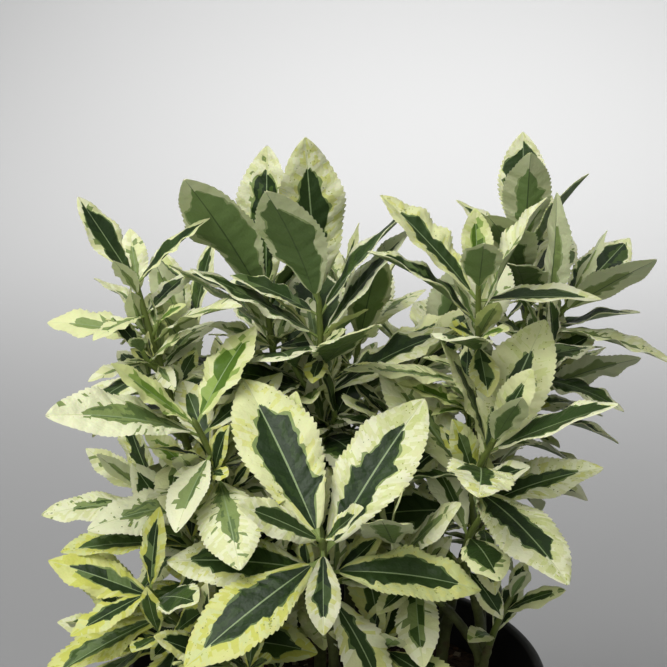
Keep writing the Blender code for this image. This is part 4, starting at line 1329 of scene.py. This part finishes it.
def blade_columns(grid, kind, draw):
    """Places of each row's corners across a leaf, from -1 to 1, and whether the green has ended there on the
    left and on the right."""
    count = len(grid.share)
    under = 2 * (2 + grid.centre + grid.margin)
    places = np.zeros((count, under + UNDER_COLUMNS))
    ended = np.zeros((count, 2), bool)
    green = draw.uniform(*kind.green)
    for side in range(2):
        edge = centre_edge(grid, green * draw.uniform(*SIDE_SHARES), draw)
        step = np.clip(STEP_WIDTH + STEP_WAVE * smooth_steps(count, draw, STEP_SPACING), *STEP_ENDS)
        far = np.minimum(edge + step, MOST_STEP)
        inside = RIB_HALF + (edge - RIB_HALF)[:, None] * loose_columns(count, grid.centre, draw)
        outside = far[:, None] + (1 - far)[:, None] * loose_columns(count, grid.margin, draw)
        outward = np.concatenate([inside, outside], 1)
        beneath = np.stack([np.full(count, UNDER_RIB), edge, far], 1)
        ended[:, side] = edge < RIB_HALF * 2
        if side == 0:
            places[:, : under // 2] = -outward[:, ::-1]
            places[:, under : under + 3] = -beneath[:, ::-1]
        else:
            places[:, under // 2 : under] = outward
            places[:, under + 3 :] = beneath
    return places, ended


def blade_swell(share):
    """A blade's half width as a share of its greatest. Along the leaf it is half a sine wave, with the place
    raised to a power, so that it is widest past the middle, and the height raised to another, which blunts
    the tip. Towards the foot it is drawn in as a wedge."""
    swell = np.sin(np.pi * np.clip(share, 0, 1) ** WIDEST_POWER) ** BLUNTNESS
    return swell * (1 - WEDGE * np.clip(1 - share / 0.5, 0, 1) ** 2)


def half_width(leaf, share):
    """A blade's half width, and down the stalk the stalk's own."""
    blade = leaf.length * LEAF_HALF_WIDTH * SLIMNESS * blade_swell(share)
    blade = blade * np.clip((share - BLADE_FROM) / (BLADE_FULL - BLADE_FROM), 0, 1)
    return np.maximum(blade, STALK_HALF * np.clip((1 - share) * STALK_FADE, 0, 1))


def fine_leaf(leaf, grid, places, draw):
    """A fine leaf's points. Its rows sweep forward to the margin as its veins do. Off the folded blade it
    bends back towards its margin, crinkles there, and dips along every vein."""
    out = np.abs(places)
    share = grid.share[:, None]
    toothed = grid.toothed[:, None]
    slant = VEIN_SLANT * np.sin(np.pi * np.clip((share - SLANT_FROM) / (1 - SLANT_FROM), 0, 1))
    stray = draw.uniform(-STRAY, STRAY, places.shape) * np.gradient(grid.share)[:, None]
    loose = (out > NEAR_RIB) & (out < AT_MARGIN) & (share > LOOSE_FROM)
    along = share - slant * (1 - out) + np.where(loose, stray, 0)
    half = half_width(leaf, share)
    depth = TOOTH_DEPTH * np.clip((TOOTH_END - share) * TOOTH_FADE, TOOTH_LEAST, 1)
    depth = depth * draw.uniform(*TOOTH_SIZES)
    notch = (grid.tooth[:, None] - 0.5) * depth * toothed
    across_it = half * (1 + np.where(out > AT_MARGIN, notch, 0))
    lift = -RECURVE * half * out**RECURVE_POWER * draw.uniform(*RECURVE_SIZES)
    for side in (places < 0, places >= 0):
        wave = draw.uniform(*CRINKLE_WAVES)
        phase = draw.uniform(0, 2 * np.pi)
        height = CRINKLE * leaf.length * draw.uniform(*CRINKLE_SIZES)
        crinkle = height * out**2 * np.sin(2 * np.pi * wave * along + phase) * np.sin(np.pi * share)
        lift = lift + np.where(side, crinkle, 0)
    groove = (grid.tongue[:, None] - 0.5) * np.sin(np.pi * np.clip(out, 0, 1)) * toothed
    lift = lift - VEIN_RELIEF * leaf.length * groove
    thick = np.interp(share, THICK_SHARES, THICKNESS) / 2
    thick = thick * np.where(share < BLADE_FULL, np.sqrt(np.clip(1 - out**2, 0, 1)), out <= AT_MARGIN)
    rib = np.where((out < NEAR_RIB) & (share > KEEL_FROM), KEEL * (1 + KEEL_FROM - share), 0)
    top = np.arange(places.shape[1]) < places.shape[1] - UNDER_COLUMNS
    lift = lift + np.where(top, thick + rib * KEEL_ABOVE, -thick - rib)
    return leaf_point(leaf, along.ravel(), places.ravel(), across_it.ravel(), lift.ravel())


def leaf_slots(grid, kind, ended, draw):
    """The slot of each quad: zones from the midrib out, blotches in the centre and the margin, and the
    stalk's own green."""
    pick = {zone: LEAF_SLOTS[str(draw.choice(getattr(kind, zone)))] for zone in KIND_ZONES}
    rows = len(grid.share) - 1
    sides, unders = [], []
    for side in range(2):
        zone = np.empty((rows, 1 + grid.centre + grid.margin), int)
        centre, margin = zone[:, : grid.centre], zone[:, grid.centre + 1 :]
        zone[:, grid.centre] = pick["step"]
        cloud = streaks(*centre.shape, draw)
        centre[:] = np.where(cloud > np.quantile(cloud, 1 - kind.patches), pick["patch"], pick["centre"])
        cloud = clouds(*margin.shape, draw)
        margin[:] = np.where(cloud > np.quantile(cloud, 0.5), pick["outer"], pick["inner"])
        cloud = clouds(*margin.shape, draw) - np.linspace(0, 1, grid.margin)
        margin[cloud > np.quantile(cloud, 1 - kind.flecks)] = pick["fleck"]
        past = ended[1:, side]
        zone[past, : grid.centre + 1] = pick["inner"]
        sides.append(zone)
        below = np.repeat([[pick["under"], LEAF_SLOTS["under_step"]]], rows, 0)
        below[past] = pick["under_edge"]
        unders.append(below)
    rib = np.where(ended[1:].all(1), LEAF_SLOTS["rib_cream"], LEAF_SLOTS["rib_green"])[:, None]
    under_rib = np.full((rows, 1), LEAF_SLOTS["under_rib"])
    edge = np.full((rows, 1), pick["under_edge"])
    above = [sides[0][:, ::-1], rib, sides[1]]
    beneath = [edge, unders[0][:, ::-1], under_rib, unders[1], edge]
    slots = np.concatenate(above + beneath, 1)
    slots[grid.share[:-1] < STALK_END] = LEAF_SLOTS["stalk_green"]
    return slots


def leaf_specks(points, grid, kind, draw):
    """Specks in a leaf's margin: flat lenses of eight faces that lie half in its surface, each somewhere on
    a face of the margin, and closer together towards the green."""
    half = 2 + grid.centre + grid.margin
    surface = points.reshape(len(grid.share), -1, 3)
    count = draw.poisson(kind.specks)
    weights = np.exp(SPECK_CLUSTERS * clouds(len(grid.share) - 1, 2 * grid.margin, draw))
    weights *= np.tile(np.linspace(1, SPECK_OUTERMOST, grid.margin), 2)
    weights[:SPECK_FREE_ROWS] = 0
    face = draw.choice(weights.size, count, p=(weights / weights.sum()).ravel())
    row, out = face // (2 * grid.margin), face % (2 * grid.margin)
    out, left = grid.centre + 1 + out % grid.margin, out < grid.margin
    column = np.where(left, half - 2 - out, half + out)
    u, v = draw.random((2, count, 1))
    corner, beside = surface[row, column], surface[row, column + 1]
    ahead, opposite = surface[row + 1, column], surface[row + 1, column + 1]
    place = (corner * (1 - u) + beside * u) * (1 - v) + (ahead * (1 - u) + opposite * u) * v
    across_leaf = beside - corner
    across_leaf /= np.linalg.norm(across_leaf, axis=1)[:, None]
    up = np.cross(ahead - corner, across_leaf)
    up /= np.linalg.norm(up, axis=1)[:, None]
    size = draw.uniform(*SPECK_SIZES, (count, 1))
    a, b, c = across_leaf * size, np.cross(across_leaf, up) * size * SPECK_LONG, up * SPECK_HEIGHT
    lens = np.stack([place + a, place + b, place - a, place - b, place + c, place - c], 1)
    faces = (np.arange(count)[:, None, None] * 6 + LENS_FACES).reshape(-1, 3)
    colours = draw.choice([LEAF_SLOTS[name] for name in SPECK_COLOURS], count)
    return lens.reshape(-1, 3), faces, np.repeat(colours, len(LENS_FACES))


def leaf_kind(leaf):
    """The kind of a leaf: one that the photograph shows, for the finest leaves their own mix, and for the
    rest their shoot's."""
    draw = random.Random("kind of " + leaf.key)
    if leaf.key in SET_KINDS:
        return KINDS[SET_KINDS[leaf.key]]
    if "fine" in leaf.key:
        return KINDS[draw_from(FINE_MIX, draw)]
    return KINDS[draw_from(MIXES.get(leaf.mass, COMMON_MIX), draw)]


class Look:
    """A material in the making. Its noises lie in the object's own space, in waves to a metre."""

    def __init__(self, name, colour=(0, 0, 0, 1), **values):
        """A Principled shader with a linear base colour and values for its other sockets, named with an
        underscore for each space."""
        self.material = bpy.data.materials.new(name)
        self.material.use_nodes = True
        tree = self.material.node_tree
        self.nodes, self.links = tree.nodes, tree.links
        self.shader = tree.nodes["Principled BSDF"]
        self.give(self.shader, Base_Color=colour, **values)

    def give(self, node, **values):
        """Values for a node's sockets."""
        for socket, value in values.items():
            node.inputs[socket.replace("_", " ")].default_value = value
        return node

    def node(self, kind, **values):
        """A new node, with values for its sockets."""
        return self.give(self.nodes.new(kind), **values)

    def noise(self, scale, detail, roughness=0.6, stretch=None):
        """A noise from 0 to 1, longer along Z where a stretch is given."""
        made = self.node("ShaderNodeTexNoise", Scale=scale, Detail=detail, Roughness=roughness)
        place = self.nodes.new("ShaderNodeTexCoord").outputs["Object"]
        if stretch is not None:
            mapping = self.node("ShaderNodeMapping", Scale=(1, 1, stretch))
            self.links.new(place, mapping.inputs["Vector"])
            place = mapping.outputs["Vector"]
        self.links.new(place, made.inputs["Vector"])
        return made.outputs["Fac"]

    def relief(self, height, strength, distance):
        """Bumps by a noise in the surface's normals, over the bumps that are there already."""
        made = self.node("ShaderNodeBump", Strength=strength, Distance=distance)
        self.links.new(height, made.inputs["Height"])
        for link in self.shader.inputs["Normal"].links:
            self.links.new(link.from_socket, made.inputs["Normal"])
        self.links.new(made.outputs["Normal"], self.shader.inputs["Normal"])

    def gloss(self, source, least, greatest):
        """The roughness goes from the least to the greatest with a noise."""
        made = self.node("ShaderNodeMapRange", To_Min=least, To_Max=greatest)
        self.links.new(source, made.inputs["Value"])
        self.links.new(made.outputs["Result"], self.shader.inputs["Roughness"])

    def ramp(self, source, *stops):
        """The base colour follows a noise, by pairs of place and sRGB colour."""
        made = self.nodes.new("ShaderNodeValToRGB")
        marks = made.color_ramp.elements
        while len(marks) < len(stops):
            marks.new(0.5)
        for mark, (place, colour) in zip(marks, stops):
            mark.position = place
            mark.color = linear(colour)
        self.links.new(source, made.inputs["Fac"])
        self.links.new(made.outputs["Color"], self.shader.inputs["Base Color"])


def leaf_material(name, colour):
    """Leathery leaf in one plain colour: a soft gloss that varies finely, over puckers and a fine grain."""
    look = Look("leaf_" + name, linear(colour), Specular_IOR_Level=0.28)
    look.give(look.shader, Subsurface_Weight=0.14, Subsurface_Radius=(0.6, 1.0, 0.3), Subsurface_Scale=MM)
    look.gloss(look.noise(scale=260, detail=3), least=0.36, greatest=0.56)
    look.relief(look.noise(scale=280, detail=2), strength=0.7, distance=0.8 * MM)
    look.relief(look.noise(scale=1500, detail=3), strength=0.35, distance=0.15 * MM)
    return look.material


def twig_material(name, colour):
    """Green twig in one plain colour, with a fine grain."""
    look = Look(name, linear(colour))
    grain = look.noise(scale=900, detail=3)
    look.gloss(grain, least=0.42, greatest=0.62)
    look.relief(grain, strength=0.4, distance=0.2 * MM)
    return look.material


def bark_material():
    """Young spindle bark: olive green that browns in patches, with fine lengthwise cracks."""
    look = Look("bark_green", Roughness=0.62)
    look.ramp(look.noise(scale=90, detail=4), *BARK_COLOURS)
    cracks = look.noise(scale=1300, detail=3, roughness=0.5, stretch=0.22)
    look.relief(cracks, strength=0.6, distance=0.25 * MM)
    return look.material


def plastic_material():
    """Black moulded plastic: a fine grain, and a sheen and a little dust in patches."""
    look = Look("pot_plastic")
    dust = look.noise(scale=34, detail=6, roughness=0.7)
    look.ramp(dust, *PLASTIC_COLOURS)
    look.gloss(dust, least=0.34, greatest=0.6)
    look.relief(look.noise(scale=1100, detail=2), strength=0.25, distance=0.1 * MM)
    return look.material


def soil_material(name, dark, light):
    """Peaty growing medium between two browns, rough and crumbly."""
    look = Look(name, Roughness=0.95, Specular_IOR_Level=0.2)
    tone = look.noise(scale=420, detail=8, roughness=0.75)
    look.ramp(tone, *zip(SOIL_PLACES, (dark, light)))
    look.relief(tone, strength=1.0, distance=0.8 * MM)
    return look.material


def grow_spurs(shoot, twig, room, blades, draw):
    """Short spurs from the axils of the shoot's own pairs, each with two pairs of small leaves, kept inside
    the box of the shoot's solid."""
    reach = [np.array(corner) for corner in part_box("foliage_" + shoot.name)]
    spurs, leaves = [], []
    for node in range(SPURS_FROM.get(shoot.name, FIRST_SPUR_PAIR), shoot.pairs):
        start, axis = twig_node(twig, (node - SPUR_ABOVE_PAIR) / (shoot.pairs - 1))
        for sidedness in range(2):
            turn = pair_turn(shoot, node, sidedness) + draw.uniform(*SPUR_TURN)
            ahead = unit(axis + turned(across(axis), axis, turn) * draw.uniform(*SPUR_OUT))
            length = draw.uniform(*SPUR_LENGTHS)
            path = line_path([start, start + ahead * length * 0.5, start + ahead * length])
            spur = Twig(shoot.name, path, SPUR_RADIUS * SPUR_FOOT, SPUR_RADIUS)
            if room.blocked(*spur.shell(), other_than=shoot.name):
                continue
            found = []
            for pair, (share, opening, size) in enumerate(SPUR_PAIRS):
                for side in range(2):
                    key = f"fine-{shoot.name}-{node}-{sidedness}-{pair}-{side}"
                    long = shoot.leaf * MM * size * draw.uniform(*SPUR_LEAVES.size)
                    way = turn + 90 * (pair + 1) + 180 * side + draw.uniform(*SPUR_LEAVES.turn)
                    wide = opening + draw.uniform(*SPUR_LEAVES.opening)
                    place = path.at(share * path.length)
                    wish = make_wish(shoot, place, ahead, way, wide, long, key, SPUR_LEAVES, draw)
                    found.append(place_leaf(wish, room, blades, SHORTEST_FINE_LEAF, reach, FINE_WAYS))
            found = [leaf for leaf in found if leaf is not None]
            if found:
                room.add(*spur.shell(), shoot.name)
                spurs.append(spur)
                leaves += found
    return spurs, leaves


def grow_limb_leaves(shoot, path, room, blades, draw):
    """Pairs of leaves down the shoot's bare limb, as far as the crown's inside reaches."""
    reach = [np.array(corner) for corner in cad_box]
    leaves = []
    distance = leafy_from(shoot, path) - LIMB_FIRST_BELOW
    number = 0
    while distance > LEAST_LIMB and path.at(distance)[2] > LIMB_LEAVES_ABOVE:
        place, axis = path.at(distance), path.heading(distance)
        for side in range(2):
            way = pair_turn(shoot, number, side) + draw.uniform(*LIMB_LEAVES.turn)
            long = shoot.leaf * MM * LIMB_LEAF_SHARE * draw.uniform(*LIMB_LEAVES.size)
            wide = LIMB_OPENING + draw.uniform(*LIMB_LEAVES.opening)
            key = f"fine-limb-{shoot.name}-{number}-{side}"
            wish = make_wish(shoot, place, axis, way, wide, long, key, LIMB_LEAVES, draw)
            leaves.append(place_leaf(wish, room, blades, SHORTEST_FINE_LEAF, reach, FINE_WAYS))
        distance -= LIMB_NODE_STEP * draw.uniform(*LIMB_STEP_SHARES)
        number += 1
    return [leaf for leaf in leaves if leaf is not None]


def tube_rows(path, step):
    """Distances along a path about a step apart, the points there, and the frame round each: two directions
    square to the path that turn with it as little as they can."""
    distances = np.linspace(0, path.length, max(int(path.length / step), LEAST_ROWS))
    points = np.stack([np.interp(distances, path.lengths, path.points[:, i]) for i in range(3)], 1)
    ahead = np.gradient(points, axis=0)
    ahead /= np.linalg.norm(ahead, axis=1)[:, None]
    first = across(ahead[0])
    sides = np.empty_like(ahead)
    for row, direction in enumerate(ahead):
        first = unit(first - direction * np.dot(first, direction))
        sides[row] = first
    return distances, (points, sides, np.cross(ahead, sides))


def tube_rings(rows, radii):
    """A ring of points round each row's point, at that row's radii: the cosine of the angle along the first
    direction and its sine along the second."""
    points, first, second = rows
    sides = circle(radii.shape[1])
    ring = sides[:, :1] * first[:, None] + sides[:, 1:] * second[:, None]
    return points[:, None] + radii[..., None] * ring


def tube_surface(rows, radii):
    """A closed tube of such rings, with a flat cap at each end."""
    count, sides = radii.shape
    ends = np.arange(sides)
    caps = np.stack([ends[::-1], ends + (count - 1) * sides])
    return tube_rings(rows, radii).reshape(-1, 3), band_quads(count, sides), caps


def bark_surface(path, low, high, sunk, flare, seed):
    """A limb with its relief. An even taper, flared at its foot, is changed by shares of itself: a slightly
    square section by the cosine of four times the angle, shallow lengthwise furrows, knobs, and at each old
    pair a swelling with two leaf scars, which rises and falls as a bell does."""
    start = path.points[0] - unit(path.points[1] - path.points[0]) * sunk
    path = line_path([start, *path.points])
    distances, rows = tube_rows(path, BARK_STEP)
    angles = np.linspace(0, 2 * np.pi, BARK_SIDES, endpoint=False)
    taper = np.interp(distances, [sunk, path.length], [low, high])
    taper = taper * (1 + (flare - 1) * np.exp(-np.maximum(distances - sunk, 0) / (FLARE_HEIGHT * 0.5)))
    beat = (distances + NODE_EVERY * 0.5) / NODE_EVERY
    node = np.exp(-(((beat % 1 - 0.5) * NODE_EVERY / NODE_HALF) ** 2))
    turn = np.where(beat.astype(int) % 2, 0, np.pi / 2)
    scar = np.clip(np.cos(2 * (angles - turn[:, None])), 0, 1)
    plain = tube_rings(rows, np.broadcast_to(taper[:, None], scar.shape))
    square = BARK_SQUARE * np.cos(4 * angles)
    furrows = FURROW * ripple(plain * FURROW_STRETCH, FURROW_SIZE, seed)
    knobs = KNOB * ripple(plain, KNOB_SIZE, seed + 1)
    swelling = NODE_SWELLING * node[:, None] * (0.5 + scar)
    return tube_surface(rows, taper[:, None] * (1 + square + furrows + knobs + swelling))


def twig_surface(twig, extra_foot):
    """A green twig: an even taper, slightly four-angled by the cosine of four times the angle. Its bud closes
    by the square root of what is left to the tip."""
    points = twig.path.points
    foot = points[0] - unit(points[1] - points[0]) * extra_foot
    tip = points[-1] + unit(points[-1] - points[-2]) * twig.last_radius * BUD_LENGTH
    path = line_path([foot, *points, tip])
    distances, rows = tube_rows(path, TWIG_STEP)
    taper = np.interp(distances, [0, path.length], [twig.first_radius, twig.last_radius])
    ease = np.sqrt(np.clip((path.length - distances) / (twig.last_radius * BUD_LENGTH), BUD_BLUNT, 1))
    angles = np.linspace(0, 2 * np.pi, TWIG_SIDES, endpoint=False)
    return tube_surface(rows, (taper * ease)[:, None] * (1 + TWIG_SQUARE * np.cos(4 * angles)))


def build_leaves(leaves):
    """One piece of leaves for each mass of foliage."""
    materials = [leaf_material(name, colour) for name, colour in LEAF_COLOURS.items()]
    grids = [(least, leaf_grid(*layout)) for least, layout in LEAF_GRIDS]
    for shoot in SHOOTS:
        joined = Joined()
        for leaf in leaves:
            if leaf.mass != shoot.name:
                continue
            if leaf.key in FINE_TWISTS:
                leaf = leaf._replace(twist=math.radians(FINE_TWISTS[leaf.key]))
            grid = next(grid for least, grid in grids if leaf.length >= least)
            kind = leaf_kind(leaf)
            draw = np.random.default_rng(random.Random("blade of " + leaf.key).randrange(2**32))
            places, ended = blade_columns(grid, kind, draw)
            points = fine_leaf(leaf, grid, places, draw)
            slots = leaf_slots(grid, kind, ended, draw)
            ends = [LEAF_SLOTS["stalk_green"], slots[-1, 0]]
            joined.add(points, (grid.quads.reshape(-1, 4), slots.ravel()), (grid.caps, ends))
            if leaf.length >= LARGE_LEAF:
                specks, faces, colours = leaf_specks(points, grid, kind, draw)
                joined.add(specks, (faces, colours))
        name = "leaves_" + shoot.name
        joined.piece(name, materials, "variegated_leaf", ["foliage_" + shoot.name], LEAF_SHARP)


def build_twigs(twigs):
    """One piece of twigs for each mass: its main twig, side twigs and spurs."""
    materials = [twig_material(name, colour) for name, colour in TWIG_COLOURS.items()]
    for shoot in SHOOTS:
        joined = Joined()
        for number, twig in enumerate(twig for twig in twigs if twig.mass == shoot.name):
            slot = min(number, 1)
            points, quads, caps = twig_surface(twig, 0.0 if slot else TWIG_FOOT)
            joined.add(points, (quads, slot), (caps, slot))
        joined.piece("twigs_" + shoot.name, materials, "variegated_leaf", ["foliage_" + shoot.name])


def build_bark(paths):
    """One piece of bark for each stem and bough."""
    material = bark_material()
    for number, shoot in enumerate(SHOOTS):
        path = paths[shoot.name]
        limb = line_path(path.stretch(0, leafy_from(shoot, path), LIMB_POINTS))
        if shoot.carrier == "soil":
            node, low, sunk, flare = "stem_", STEM_RADIUS, SUNK, ROOT_FLARE
        else:
            node, low, sunk, flare = "bough_", BOUGH_RADIUS, 0.0, BOUGH_FLARE
        surface = bark_surface(limb, low, TWIG_RADIUS, sunk, flare, number)
        single_piece("bark_" + shoot.name, surface, material, "green_bark", [node + shoot.name])


def turned_surface(profile, around):
    """A profile of radii and heights, closed on the axis at both ends, turned about it: each radius times the
    cosine and the sine of the angle."""
    rings = [level_ring(around, radius, height) for radius, height in profile[1:-1]]
    poles = [[0, 0, profile[0][1]], [0, 0, profile[-1][1]]]
    quads = band_quads(len(rings), around)[:, [0, 3, 2, 1]]
    first = len(rings) * around
    here = np.arange(around)
    tips = np.concatenate([fan(here, first), fan((first - around + here)[::-1], first + 1)])
    return np.concatenate([*rings, poles]), quads, tips


def rounded(profile, ease, steps=4):
    """The profile with each inner corner eased into a short curve between points near the corner on its two
    sides: a mean of the three, whose weights are the terms of the square of (1 - t) + t."""
    profile = np.array(profile, float)
    made = [profile[0]]
    t = np.linspace(0, 1, steps + 1)[:, None]
    for before, corner, after in zip(profile, profile[1:], profile[2:]):
        back = min(ease, np.linalg.norm(before - corner) * MOST_OF_SIDE)
        on = min(ease, np.linalg.norm(after - corner) * MOST_OF_SIDE)
        a = corner + unit(before - corner) * back
        b = corner + unit(after - corner) * on
        made += list((1 - t) ** 2 * a + 2 * t * (1 - t) * corner + t**2 * b)
    return np.array(made + [profile[-1]])


def build_pot():
    """The thin-walled pot, turned, with the drain holes cut through its floor."""
    surface = turned_surface(rounded(pot_profile()[::-1], POT_ROUNDING), POT_AROUND)
    pot = single_piece("pot_shell", surface, plastic_material(), "black_plastic", ["pot"], POT_SHARP)
    cutters = []
    for number in range(DRAIN_COUNT):
        angle = math.radians(DRAIN_TURN + 360 * number / DRAIN_COUNT)
        bpy.ops.mesh.primitive_cylinder_add(
            vertices=DRAIN_AROUND,
            radius=DRAIN_RADIUS,
            depth=4 * (BASE_RISE + POT_WALL),
            location=(DRAIN_CIRCLE * math.cos(angle), DRAIN_CIRCLE * math.sin(angle), BASE_RISE),
        )
        cutters.append(bpy.context.object)
        cut = pot.modifiers.new("drain", "BOOLEAN")
        cut.operation = "DIFFERENCE"
        cut.solver = "EXACT"
        cut.object = cutters[-1]
    pierced = bpy.data.meshes.new_from_object(pot.evaluated_get(bpy.context.evaluated_depsgraph_get()))
    pot.modifiers.clear()
    pot.data = pierced
    for cutter in cutters:
        bpy.data.objects.remove(cutter)


def build_soil(stems):
    """The soil: a round grid whose top is raised by noise in three sizes and heaped a little round each
    stem, with a plain side and underside, and loose crumbs on it."""
    profile = soil_profile()
    edge, (foot_radius, foot_height) = profile[1][0], profile[2]
    radii = np.linspace(0, 1, SOIL_RINGS)[:0:-1] ** SOIL_RING_POWER * edge
    top = radii[:, None, None] * np.column_stack([circle(SOIL_AROUND), np.zeros(SOIL_AROUND)])
    top[..., 2] = soil_height(top, stems)
    top[0, :, 2] = SOIL_TOP - SOIL_EDGE_DROP
    foot = level_ring(SOIL_AROUND, foot_radius, foot_height)
    points = np.concatenate([foot, top.reshape(-1, 3), [[0, 0, foot_height], [0, 0, SOIL_TOP]]])
    here = np.arange(SOIL_AROUND)
    under = len(points) - 2
    tips = np.concatenate([fan(here[::-1], under), fan(under - SOIL_AROUND + here, under + 1)])
    surface = points, band_quads(len(radii) + 1, SOIL_AROUND), tips
    material = soil_material("soil_peat", *SOIL_COLOURS)
    single_piece("soil_surface", surface, material, "potting_soil", ["soil"])
    build_crumbs(stems, edge)


def soil_height(flat, stems):
    """Height of the soil's top at points on the level: rough by noise, and heaped round the stems."""
    waves = enumerate(SOIL_WAVES, 1)
    height = SOIL_TOP + SOIL_RELIEF * sum(share * ripple(flat, size, seed) for seed, (share, size) in waves)
    for stem in stems:
        away = np.linalg.norm(flat[..., :2] - stem[:2], axis=-1)
        height = height + HEAP_HEIGHT * np.exp(-((away / HEAP_RADIUS) ** 2))
    return height


def build_crumbs(stems, edge):
    """Crumbs and bark chips on the soil: boxes of six faces that are pushed out of square, half sunk in."""
    materials = [soil_material(name, *colours) for name, colours in CRUMB_COLOURS.items()]
    draw = np.random.default_rng(CRUMB_SEED)
    radius = edge * CRUMB_REACH * np.sqrt(draw.random(CRUMBS))
    angle = draw.uniform(0, 2 * np.pi, CRUMBS)
    place = np.stack([radius * np.cos(angle), radius * np.sin(angle), np.zeros(CRUMBS)], -1)
    place[:, 2] = soil_height(place, stems)
    size = draw.uniform(*CRUMB_SIDES, (CRUMBS, 1, 3)) * draw.uniform(*CRUMB_SIZES, (CRUMBS, 1, 1)) * MM
    size[..., 2] *= CRUMB_FLATNESS
    x, y, z = np.moveaxis(BOX_CORNERS * size * draw.uniform(*CRUMB_CORNERS, (CRUMBS, 8, 3)), -1, 0)
    turn = draw.uniform(0, np.pi, CRUMBS)[:, None]
    cos, sin = np.cos(turn), np.sin(turn)
    points = np.stack([x * cos - y * sin, x * sin + y * cos, z], -1) + place[:, None]
    faces = (np.arange(CRUMBS)[:, None, None] * 8 + BOX_FACES).reshape(-1, 4)
    slots = np.repeat(draw.integers(0, len(materials), CRUMBS), 6)
    joined = Joined()
    joined.add(points.reshape(-1, 3), (faces, slots))
    joined.piece("soil_crumbs", materials, "potting_soil", (), CRUMB_SHARP)


def build_stage():
    """A pale round floor that bends up into a wall on all sides, open at the top."""
    profile = [(radius, 0) for radius in np.linspace(0, STAGE_FLOOR, STAGE_FLAT_RINGS)[:-1]]
    for angle in np.linspace(0, np.pi / 2, STAGE_BEND_RINGS):
        profile.append((STAGE_FLOOR + STAGE_BEND * math.sin(angle), STAGE_BEND * (1 - math.cos(angle))))
    profile += [(STAGE_FLOOR + STAGE_BEND, STAGE_HEIGHT), (0, STAGE_HEIGHT)]
    points, quads, tips = turned_surface(profile, STAGE_AROUND)
    look = Look("studio_floor", STAGE_GREY, Roughness=0.9, Specular_IOR_Level=0.1)
    single_piece("studio", (points, quads[:, ::-1], tips[:STAGE_AROUND, ::-1]), look.material, None)


def build_lights():
    """Plain soft studio light, from above and a little from the left, and a lamp for the backdrop."""
    world = bpy.data.worlds.new("studio_air")
    world.use_nodes = True
    air = world.node_tree.nodes["Background"]
    air.inputs["Color"].default_value = (1, 1, 1, 1)
    air.inputs["Strength"].default_value = AIR_LIGHT
    bpy.context.scene.world = world
    for name, (place, aim, size, power, spread) in LAMPS.items():
        data = bpy.data.lights.new(name, "AREA")
        data.size = size
        data.energy = power
        data.spread = math.radians(spread)
        lamp = bpy.data.objects.new(name, data)
        lamp.location = place
        lamp.rotation_euler = (Vector(aim) - Vector(place)).to_track_quat("-Z", "Y").to_euler()
        bpy.context.scene.collection.objects.link(lamp)


def build_camera():
    """The camera, with the plain view transform that keeps colours as they are."""
    data = bpy.data.cameras.new("camera")
    data.lens = LENS
    data.sensor_width = SENSOR
    camera = bpy.data.objects.new("camera", data)
    pitch = math.radians(CAMERA_PITCH)
    back = Vector((0, -math.cos(pitch), math.sin(pitch)))
    camera.location = Vector(CAMERA_AIM) + back * CAMERA_DISTANCE
    camera.rotation_euler = (math.pi / 2 - pitch, 0, 0)
    bpy.context.scene.collection.objects.link(camera)
    bpy.context.scene.camera = camera
    bpy.context.scene.view_settings.view_transform = "Standard"


def main():
    """Builds the stage, grows the plant and its finer growth, and builds every piece."""
    build_camera()
    build_lights()
    build_stage()
    paths, twigs, leaves, room, blades = grow(pot_walls())
    main_twigs = {}
    for twig in twigs:
        main_twigs.setdefault(twig.mass, twig)
    for shoot in SHOOTS:
        draw = random.Random("finer growth of " + shoot.name)
        spurs, small = grow_spurs(shoot, main_twigs[shoot.name], room, blades, draw)
        twigs += spurs
        leaves += small + grow_limb_leaves(shoot, paths[shoot.name], room, blades, draw)
    build_leaves(leaves)
    build_twigs(twigs)
    build_bark(paths)
    build_pot()
    build_soil([np.array(shoot.start) * MM for shoot in SHOOTS if shoot.carrier == "soil"])


main()
